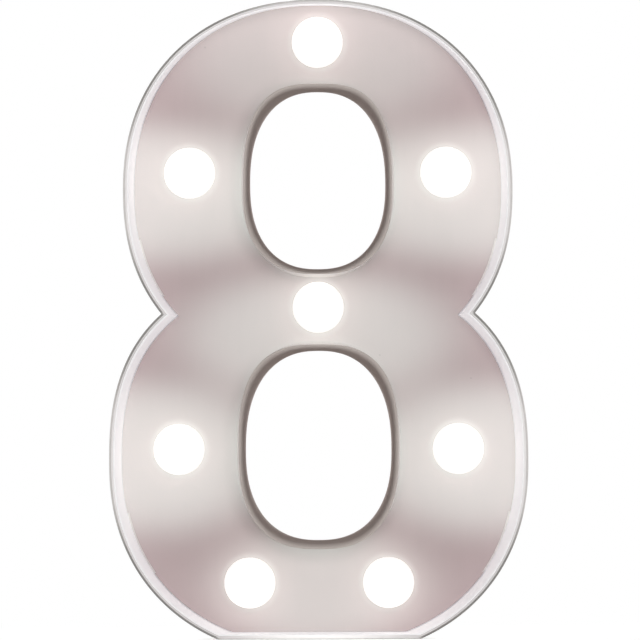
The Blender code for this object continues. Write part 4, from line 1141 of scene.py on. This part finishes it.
def build_battery_box(shape, finish):
    """An open box with a screw boss at its foot."""
    low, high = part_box("battery_box")
    boss = middle_of("door_screw")
    foot = boss.z + BOSS_RADIUS
    wall = BOX_WALL
    outer = rounded_box(low.x, high.x, foot, high.z, BOX_CORNER)
    inner = rounded_box(low.x + wall, high.x - wall, foot + wall, high.z - wall, BOX_CORNER)
    rounding = shape.edge_rounding
    edge = high.y - rounding
    stations = [(outer, low.y), (outer, edge), (grown(outer, -rounding), high.y)]
    stations += [(grown(inner, rounding), high.y), (inner, edge), (inner, low.y + BOX_FLOOR)]
    bm = bmesh.new()
    add_plate(bm, [stations])
    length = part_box("door_screw")[0].y - GAP - BOX_FLOOR - high.y
    profile = [(0.0, length), (BOSS_RADIUS, length), (BOSS_RADIUS, 0.0), (SCREW_HOLE_RADIUS, 0.0)]
    profile += [(SCREW_HOLE_RADIUS, length + BOX_FLOOR), (0.0, length + BOX_FLOOR)]
    add_turned(bm, profile, ROUND_POINTS, facing(1, boss.x, boss.z, high.y))
    material = moulded("Box White", finish.back_colour, finish.roughness, specks=0.1)
    finish_piece("battery_tray", bm, [material], "battery_box", "box_white")


def cell_jacket(finish):
    """A cell's printed film, with a plain band near each end."""
    surface = new_surface("Cell Jacket")
    height = surface.axes()["Z"]
    low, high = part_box("battery_cell_1")
    apart = surface.maths("ABSOLUTE", surface.maths("SUBTRACT", height, (low.z + high.z) / 2))
    band = (high.z - low.z) / 2 - CELL_BAND
    banded = surface.ranged(apart, band, band + GAP)
    colour = surface.mixed(banded, finish.cell_colour, finish.band_colour)
    gloss = surface.noise(surface.place(), JACKET_SCALE)
    ripple = surface.maths("SINE", surface.maths("MULTIPLY", height, JACKET_RIPPLE))
    return surface.set({
        "Base Color": surface.resin(colour, drift=0.05, streaks=0.02),
        "Roughness": surface.ranged(gloss, *NOISE_SPAN, *JACKET_ROUGHNESS),
        "Normal": surface.bump(ripple, RIPPLE_BUMP),
    })


def build_cells(finish):
    materials = (cell_jacket(finish), bpy.data.materials["Nickel Plate"])
    for number, turn in ((1, 0), (2, math.pi)):
        node = f"battery_cell_{number}"
        low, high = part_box(node)
        centre = (low + high) / 2
        radius = (high.x - low.x) / 2
        length = high.z - low.z
        body = length - CELL_NUB_LENGTH
        bare = radius - CELL_EDGE - CELL_LIP
        sunk = body - CELL_LIP
        edge = [(radius - out, down) for out, down in quarter_round(CELL_EDGE)]
        profile = [(0.0, CELL_LIP), (bare, CELL_LIP), (bare, 0.0), *edge]
        jacket = range(3, len(profile) + CORNER_STEPS)
        profile += [(side, body - down) for side, down in reversed(edge)]
        profile += [(bare, body), (bare, sunk), (CELL_NUB_RADIUS, sunk)]
        profile.append((CELL_NUB_RADIUS, body + CELL_NUB_LENGTH - CELL_LIP / 2))
        profile += [(CELL_NUB_RADIUS - CELL_LIP / 2, length), (0.0, length)]
        steel = {band: 1 for band in range(len(profile)) if band not in jacket}
        foot = high.z if turn else low.z
        place = Matrix.Translation((centre.x, centre.y, foot)) @ Matrix.Rotation(turn, 4, "X")
        bm = bmesh.new()
        add_turned(bm, profile, ROUND_POINTS, place, steel)
        finish_piece(f"cell_{number}", bm, materials, node, "cell_jacket")


def build_springs():
    for name, way in (("negative_spring", 1), ("bridge_spring", -1)):
        low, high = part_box(name)
        centre = (low + high) / 2
        wire = SPRING_WIRE_RADIUS
        start = low.z + wire if way > 0 else high.z - wire
        rise = (high.z - low.z - wire * 2) * way
        count = SPRING_TURNS * SPRING_TURN_POINTS
        curve = bpy.data.curves.new(f"{name}_coil", "CURVE")
        curve.dimensions = "3D"
        curve.bevel_depth = wire
        curve.bevel_resolution = 3
        curve.use_fill_caps = True
        line = curve.splines.new("POLY")
        line.points.add(count)
        for i, point in enumerate(line.points):
            angle = 2 * math.pi * SPRING_TURNS * i / count
            x = centre.x + SPRING_RADIUS * math.cos(angle)
            y = centre.y + SPRING_RADIUS * math.sin(angle)
            point.co = (x, y, start + rise * i / count, 1)
        curve.materials.append(bpy.data.materials["Nickel Plate"])
        settle(f"{name}_coil", curve, "housing", "contact_nickel", name)


def build_switch(finish):
    black = moulded("Black Plastic", finish.switch_colour, roughness=0.42, drift=0.1, specks=0.0)
    dress(black, "switch_body")
    low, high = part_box("switch_knob")
    half = KNOB_RIB / 2
    outline = rounded_box(low.x, high.x, low.z, high.z, KNOB_RIB)
    borders = [rounded_edge(outline, high.y, low.y, half)]
    ends = (low.z + KNOB_GROOVE_BORDER, high.z - KNOB_GROOVE_BORDER)
    pockets = []
    for x in steps_between(low.x, high.x, KNOB_GROOVES + 1)[1:-1]:
        groove = rounded_box(x - half, x + half, *ends, KNOB_GROOVE_CORNER)
        pockets.append(pocket(groove, high.y, half / 2, KNOB_RIB))
    bm = bmesh.new()
    add_plate(bm, borders, pockets)
    knob = moulded("Knob Black", finish.knob_colour, roughness=0.5, drift=0.1, specks=0.0)
    finish_piece("slide_knob", bm, [knob], "switch_knob", "black_plastic", "switch_knob")


def resistor_lacquer(finish):
    """The resistor's lacquer and its coloured bands, between bare metal caps."""
    surface = new_surface("Resistor Lacquer")
    low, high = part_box("series_resistor")
    ramp = surface.tree.nodes.new("ShaderNodeValToRGB")
    surface.put(ramp.inputs[0], surface.ranged(surface.axes()["X"], low.x, high.x))
    stops = ramp.color_ramp.elements
    stops[0].color = RESISTOR_CAPS
    stops.remove(stops[1])
    ramp.color_ramp.interpolation = "CONSTANT"
    body = (*finish.resistor_colour, 1.0)
    start, end = RESISTOR_BODY
    stops.new(start).color = body
    for place, colour in RESISTOR_BANDS:
        stops.new(place).color = colour
        stops.new(place + RESISTOR_BAND).color = body
    stops.new(end).color = RESISTOR_CAPS
    return surface.set({"Base Color": ramp.outputs[0], "Roughness": 0.35})


def lamp_epoxy(finish):
    """The clear, glossy body of a small lamp."""
    surface = new_surface("Lamp Epoxy")
    tone = surface.resin(finish.epoxy_colour)
    return surface.set({"Base Color": tone, "Roughness": 0.12, "Coat Weight": 0.3})


def build_chain(finish):
    """The finishes of the lamps, their sockets and leads, and the resistor."""
    socket = moulded("Socket White", finish.back_colour, finish.roughness, specks=0.1)
    red = moulded("Red Lead", finish.red_lead_colour, roughness=0.4, drift=0.08, specks=0.0)
    black = moulded("Black Lead", finish.black_lead_colour, roughness=0.4, drift=0.08, specks=0.0)
    dress(socket, *(f"lamp_socket_{number}" for number in BULBS))
    dress(lamp_epoxy(finish), *(f"led_lamp_{number}" for number in BULBS))
    dress(red, "red_lamp_lead", "battery_lead_red", "switch_lead_red", "feed_lead_red")
    dress(black, "black_lamp_lead", "battery_lead_black")
    dress(resistor_lacquer(finish), "series_resistor")


def build_contacts(finish):
    nickel = plated("Nickel Plate", finish.nickel_colour, roughness=0.26)
    dress(nickel, "bridge_contact", "positive_contact", "negative_contact")
    dress(nickel, *(f"switch_terminal_{number}" for number in TERMINALS))


def build_world(stage):
    """A white room for the eye and for gloss, which gives the object only a low light."""
    world = bpy.data.worlds.new("Soft Room")
    bpy.context.scene.world = world
    world.use_nodes = True
    world.node_tree.nodes.clear()
    wires = Wires(world.node_tree)
    light = wires.add("Background", {"Color": WHITE, "Strength": stage.room_light})
    white = wires.add("Background", {"Color": WHITE, "Strength": 1.0})
    rays = wires.add("LightPath", output=None)
    seen = wires.maths("MAXIMUM", rays["Is Camera Ray"], rays["Is Glossy Ray"])
    seen = wires.maths("MAXIMUM", seen, rays["Is Transmission Ray"])
    both = wires.add("MixShader", {0: seen, 1: light, 2: white})
    end = world.node_tree.nodes.new("ShaderNodeOutputWorld")
    wires.put(end.inputs["Surface"], both)


def add_floor(stage):
    """A pale floor that keeps the shadow and fades into the room around it."""
    bm = bmesh.new()
    size = stage.floor_size / 2
    bmesh.ops.create_grid(bm, x_segments=FLOOR_CELLS, y_segments=FLOOR_CELLS, size=size)
    surface = new_surface("Floor")
    seen = surface.add("LightPath", output="Is Camera Ray")
    material = surface.set({
        "Base Color": stage.floor_colour,
        "Roughness": 0.9,
        "Specular IOR Level": 0.0,
        "Emission Color": WHITE,
        "Emission Strength": surface.maths("MULTIPLY", seen, stage.floor_lift),
    })
    far = surface.add("VectorMath", {0: surface.place()}, "Value", operation="LENGTH")
    share = surface.maths("MULTIPLY", surface.ranged(far, FADE_START, FADE_END), seen)
    white = surface.add("Emission", {"Color": WHITE, "Strength": 1.0})
    both = surface.add("MixShader", {0: share, 1: surface.shader.outputs[0], 2: white})
    surface.put(surface.tree.nodes["Material Output"].inputs["Surface"], both)
    linked("floor", mesh_from("floor", bm, [material]))


def add_lamp(name, place, size, level):
    """A square soft lamp that lights a surface facing it to a level, where 1 is white."""
    reach = Vector((0, 0, HEIGHT / 2)) - Vector(place)
    light = bpy.data.lights.new(name, "AREA")
    light.energy = level * (math.pi * reach.length) ** 2
    light.size = size
    lamp = linked(name, light)
    lamp.location = place
    lamp.rotation_euler = reach.to_track_quat("-Z", "Y").to_euler()


def add_camera(stage):
    """Looks straight at the front from far off, framed as in the photograph."""
    scale = HEIGHT / (FOOT_ROW - CROWN_ROW)
    data = bpy.data.cameras.new("camera")
    data.lens = data.sensor_width * stage.camera_distance / (PICTURE_SIDE * scale)
    data.clip_end = stage.camera_distance * 10
    camera = linked("camera", data)
    x = (PICTURE_SIDE / 2 - MIDDLE_COLUMN) * scale
    z = (FOOT_ROW - PICTURE_SIDE / 2) * scale
    camera.location = (x, FRONT - stage.camera_distance, z)
    camera.rotation_euler = (math.pi / 2, stage.camera_roll, 0)
    bpy.context.scene.camera = camera


def build_stage(stage):
    build_world(stage)
    add_floor(stage)
    for name, place, size, setting in LAMPS:
        add_lamp(name, place, size, getattr(stage, setting))
    add_camera(stage)
    bpy.context.scene.view_settings.view_transform = "Standard"


def colour_property(name, surface, default):
    return FloatVectorProperty(
        name=name, description=f"Colour of {surface}", default=default,
        subtype="COLOR", size=3, min=0, max=1,
    )


def length_property(name, description, default):
    return FloatProperty(
        name=name, description=description, default=default, unit="LENGTH", precision=5, min=0
    )


def number_property(name, description, default):
    return FloatProperty(name=name, description=description, default=default, min=0)


class MarqueeShape(PropertyGroup):
    """Sizes of the finer edges"""

    edge_radius: length_property("Edge Radius", "Radius of the rim's outer front edge", 0.0007)
    lip_rounding: length_property("Lip Rounding", "Radius of the rim's inner front edge", 0.0004)
    edge_rounding: length_property("Edge Rounding", "Radius of the plates' edges", 0.0002)


class MarqueeFinish(PropertyGroup):
    """Colours and gloss of the pieces, and the light of the bulbs"""

    rim_colour: colour_property("Rim", "the outer rim", (0.93, 0.90, 0.875))
    # The rim edge's two colours are painted shade along its outer edge, the darker one where it runs
    # aslant
    edge_shade_colour: colour_property("Rim Edge", "the rim's outer edge", (0.74, 0.71, 0.69))
    aslant_edge_shade: colour_property("Shaded Edge", "the edge where hands hold it", (0.34, 0.325, 0.31))
    rim_lip_colour: colour_property("Rim Lip", "the rim's flat lip", (0.79, 0.76, 0.755))
    # The face's colour is darker than the rim: partly its own pinkish grey, partly painted shade of
    # the recessed face
    face_colour: colour_property("Face", "the face panel", (0.487, 0.391, 0.391))
    # The sleeves' colours are painted shade: bores and lips darker and browner than the white plastic,
    # outsides greyer
    bore_shade_colour: colour_property("Sleeves", "the counters' sleeves", (0.54, 0.465, 0.435))
    outside_colour: colour_property("Sleeve Outsides", "the sleeves' outsides", (0.76, 0.72, 0.70))
    lip_colour: colour_property("Sleeve Lips", "the sleeves' lips", (0.57, 0.505, 0.47))
    back_colour: colour_property("Back", "the cover and door", (0.80, 0.785, 0.77))
    letter_colour: colour_property("Letters", "the words by the switch", (0.25, 0.25, 0.25))
    bulb_colour: colour_property("Bulbs", "the frosted caps", (0.95, 0.94, 0.92))
    bulb_light: colour_property("Bulb Light", "the light that the bulbs give", (1.0, 0.985, 0.96))
    wall_light: colour_property("Wall Light", "the rim's inner glow", (0.865, 0.89, 1.0))
    screw_colour: colour_property("Screws", "the plated screws", (0.36, 0.36, 0.35))
    # The recess colour is painted shade in the screws' crosses
    recess_shade_colour: colour_property("Recesses", "the crosses in the screws", (0.08, 0.08, 0.08))
    nickel_colour: colour_property("Contacts", "contacts and springs", (0.74, 0.71, 0.66))
    cell_colour: colour_property("Cells", "the cells' jackets", (0.10, 0.11, 0.12))
    band_colour: colour_property("Cell Bands", "the cells' end bands", (0.42, 0.43, 0.44))
    switch_colour: colour_property("Switch", "the slide switch", (0.02, 0.02, 0.02))
    knob_colour: colour_property("Switch Knob", "the switch's knob", (0.07, 0.07, 0.072))
    epoxy_colour: colour_property("Lamps", "the lamps' epoxy", (0.92, 0.90, 0.78))
    red_lead_colour: colour_property("Red Leads", "the red leads", (0.55, 0.03, 0.02))
    black_lead_colour: colour_property("Black Leads", "the black leads", (0.02, 0.02, 0.02))
    resistor_colour: colour_property("Resistor", "the resistor", (0.55, 0.43, 0.28))
    roughness: number_property("Roughness", "Roughness of the smooth plastic", 0.38)
    back_roughness: number_property("Back Roughness", "Roughness of the textured back", 0.52)
    back_grain: number_property("Back Grain", "Grains along a metre of the back", 1300.0)
    bulb_strength: number_property("Bulb Strength", "How brightly the bulbs shine", 1.6)
    # The glows are painted light: the bulbs' light falling on and through the face, rim and sleeves,
    # given off by the plastic itself
    glow_colour: colour_property("Glow", "the light that leaks through", (0.84, 1.0, 0.93))
    face_glow: number_property("Face Glow", "Light that leaks through the face panel", 0.335)
    rim_glow: number_property("Rim Glow", "Light that leaks through the rim's lip", 0.15)
    foot_lift: number_property("Foot Lift", "How many times more the foot's lip glows", 5.5)
    wall_glow: number_property("Wall Glow", "Light that the rim's wall gives back", 0.266)
    sleeve_glow: number_property("Sleeve Glow", "Light that the sleeves give back", 0.04)


class MarqueeStage(PropertyGroup):
    """The floor, light and camera around the numeral"""

    floor_colour: colour_property("Floor", "the floor", (0.88, 0.88, 0.88))
    floor_lift: number_property("Floor Lift", "How far the floor is lightened for the camera", 0.55)
    floor_size: length_property("Floor Size", "Side of the square floor", 3.0)
    room_light: number_property("Room Light", "Level of the light from all round", 0.25)
    front_light: number_property("Front Light", "Level of the lamp in front", 0.55)
    side_light: number_property("Side Light", "Level of the lamps at both sides", 0.28)
    top_light: number_property("Top Light", "Level of the lamp above", 0.05)
    back_light: number_property("Back Light", "Level of the lamp behind", 0.42)
    camera_distance: length_property("Camera Distance", "From the camera to the lip", 9.0)
    camera_roll: FloatProperty(
        name="Camera Roll", description="Tilt of the picture", default=0.0038, subtype="ANGLE"
    )


SETTINGS = {
    "marquee_shape": MarqueeShape,
    "marquee_finish": MarqueeFinish,
    "marquee_stage": MarqueeStage,
}


def settings(context):
    return context.scene.marquee_shape, context.scene.marquee_finish


class MARQUEE_OT_rim(Operator):
    """Moulds the outer rim with its rounded lip and its ledges"""

    bl_idname = "marquee.rim"
    bl_label = "Outer Rim"

    def execute(self, context):
        build_rim(*settings(context))
        return {"FINISHED"}


class MARQUEE_OT_face(Operator):
    """Moulds the recessed face panel with its bulb holes and locating steps"""

    bl_idname = "marquee.face"
    bl_label = "Face Panel"

    def execute(self, context):
        build_face(*settings(context))
        return {"FINISHED"}


class MARQUEE_OT_sleeves(Operator):
    """Lines both counters with their tapering sleeves"""

    bl_idname = "marquee.sleeves"
    bl_label = "Counter Sleeves"

    def execute(self, context):
        build_sleeves(*settings(context))
        return {"FINISHED"}


class MARQUEE_OT_bulbs(Operator):
    """Sets the lit, frosted bulb caps in the face"""

    bl_idname = "marquee.bulbs"
    bl_label = "Bulbs"

    def execute(self, context):
        build_bulbs(*settings(context))
        return {"FINISHED"}


class MARQUEE_OT_cover(Operator):
    """Closes the back with its textured cover, keyhole and switch well"""

    bl_idname = "marquee.cover"
    bl_label = "Back Cover"

    def execute(self, context):
        build_cover(*settings(context))
        return {"FINISHED"}


class MARQUEE_OT_door(Operator):
    """Hangs the battery door on its pins"""

    bl_idname = "marquee.door"
    bl_label = "Battery Door"

    def execute(self, context):
        build_door(context.scene.marquee_shape)
        return {"FINISHED"}


class MARQUEE_OT_screws(Operator):
    """Drives the cover's and the door's screws"""

    bl_idname = "marquee.screws"
    bl_label = "Screws"

    def execute(self, context):
        build_screws(context.scene.marquee_finish)
        return {"FINISHED"}


class MARQUEE_OT_contacts(Operator):
    """Plates the contacts and winds their springs"""

    bl_idname = "marquee.contacts"
    bl_label = "Contacts and Springs"

    def execute(self, context):
        build_contacts(context.scene.marquee_finish)
        build_springs()
        return {"FINISHED"}


class MARQUEE_OT_bay(Operator):
    """Fits the battery box and its two cells"""

    bl_idname = "marquee.bay"
    bl_label = "Battery Bay"

    def execute(self, context):
        build_battery_box(*settings(context))
        build_cells(context.scene.marquee_finish)
        return {"FINISHED"}


class MARQUEE_OT_switch(Operator):
    """Fits the slide switch and its ribbed knob"""

    bl_idname = "marquee.switch"
    bl_label = "Slide Switch"

    def execute(self, context):
        build_switch(context.scene.marquee_finish)
        return {"FINISHED"}


class MARQUEE_OT_chain(Operator):
    """Finishes the lamps, sockets, leads and resistor inside"""

    bl_idname = "marquee.chain"
    bl_label = "Lamp Chain"

    def execute(self, context):
        build_chain(context.scene.marquee_finish)
        return {"FINISHED"}


class MARQUEE_OT_stage(Operator):
    """Sets the floor, the light and the camera"""

    bl_idname = "marquee.stage"
    bl_label = "Stage"

    def execute(self, context):
        build_stage(context.scene.marquee_stage)
        return {"FINISHED"}


PIECES = (
    MARQUEE_OT_rim,
    MARQUEE_OT_face,
    MARQUEE_OT_sleeves,
    MARQUEE_OT_bulbs,
    MARQUEE_OT_cover,
    MARQUEE_OT_door,
    MARQUEE_OT_screws,
    MARQUEE_OT_contacts,
    MARQUEE_OT_bay,
    MARQUEE_OT_switch,
    MARQUEE_OT_chain,
    MARQUEE_OT_stage,
)


class MARQUEE_PT_panel(Panel):
    """Lists the numeral's pieces and its settings"""

    bl_idname = "MARQUEE_PT_panel"
    bl_label = "Marquee Number"
    bl_space_type = "VIEW_3D"
    bl_region_type = "UI"
    bl_category = "Marquee"

    def draw(self, context):
        for piece in PIECES:
            self.layout.operator(piece.bl_idname)
        for name in SETTINGS:
            group = getattr(context.scene, name)
            box = self.layout.box()
            for setting in group.__annotations__:
                box.prop(group, setting)


CLASSES = (*SETTINGS.values(), *PIECES, MARQUEE_PT_panel)


def register():
    for kind in CLASSES:
        bpy.utils.register_class(kind)
    for name, kind in SETTINGS.items():
        setattr(bpy.types.Scene, name, PointerProperty(type=kind))


def unregister():
    for name in SETTINGS:
        delattr(bpy.types.Scene, name)
    for kind in reversed(CLASSES):
        bpy.utils.unregister_class(kind)


def main():
    register()
    for build in (build_resin_tone, build_moulded_grain, build_bulb_glow, build_plated_metal):
        build()
    for piece in PIECES:
        family, name = piece.bl_idname.split(".")
        getattr(getattr(bpy.ops, family), name)()


if __name__ == "__main__":
    main()
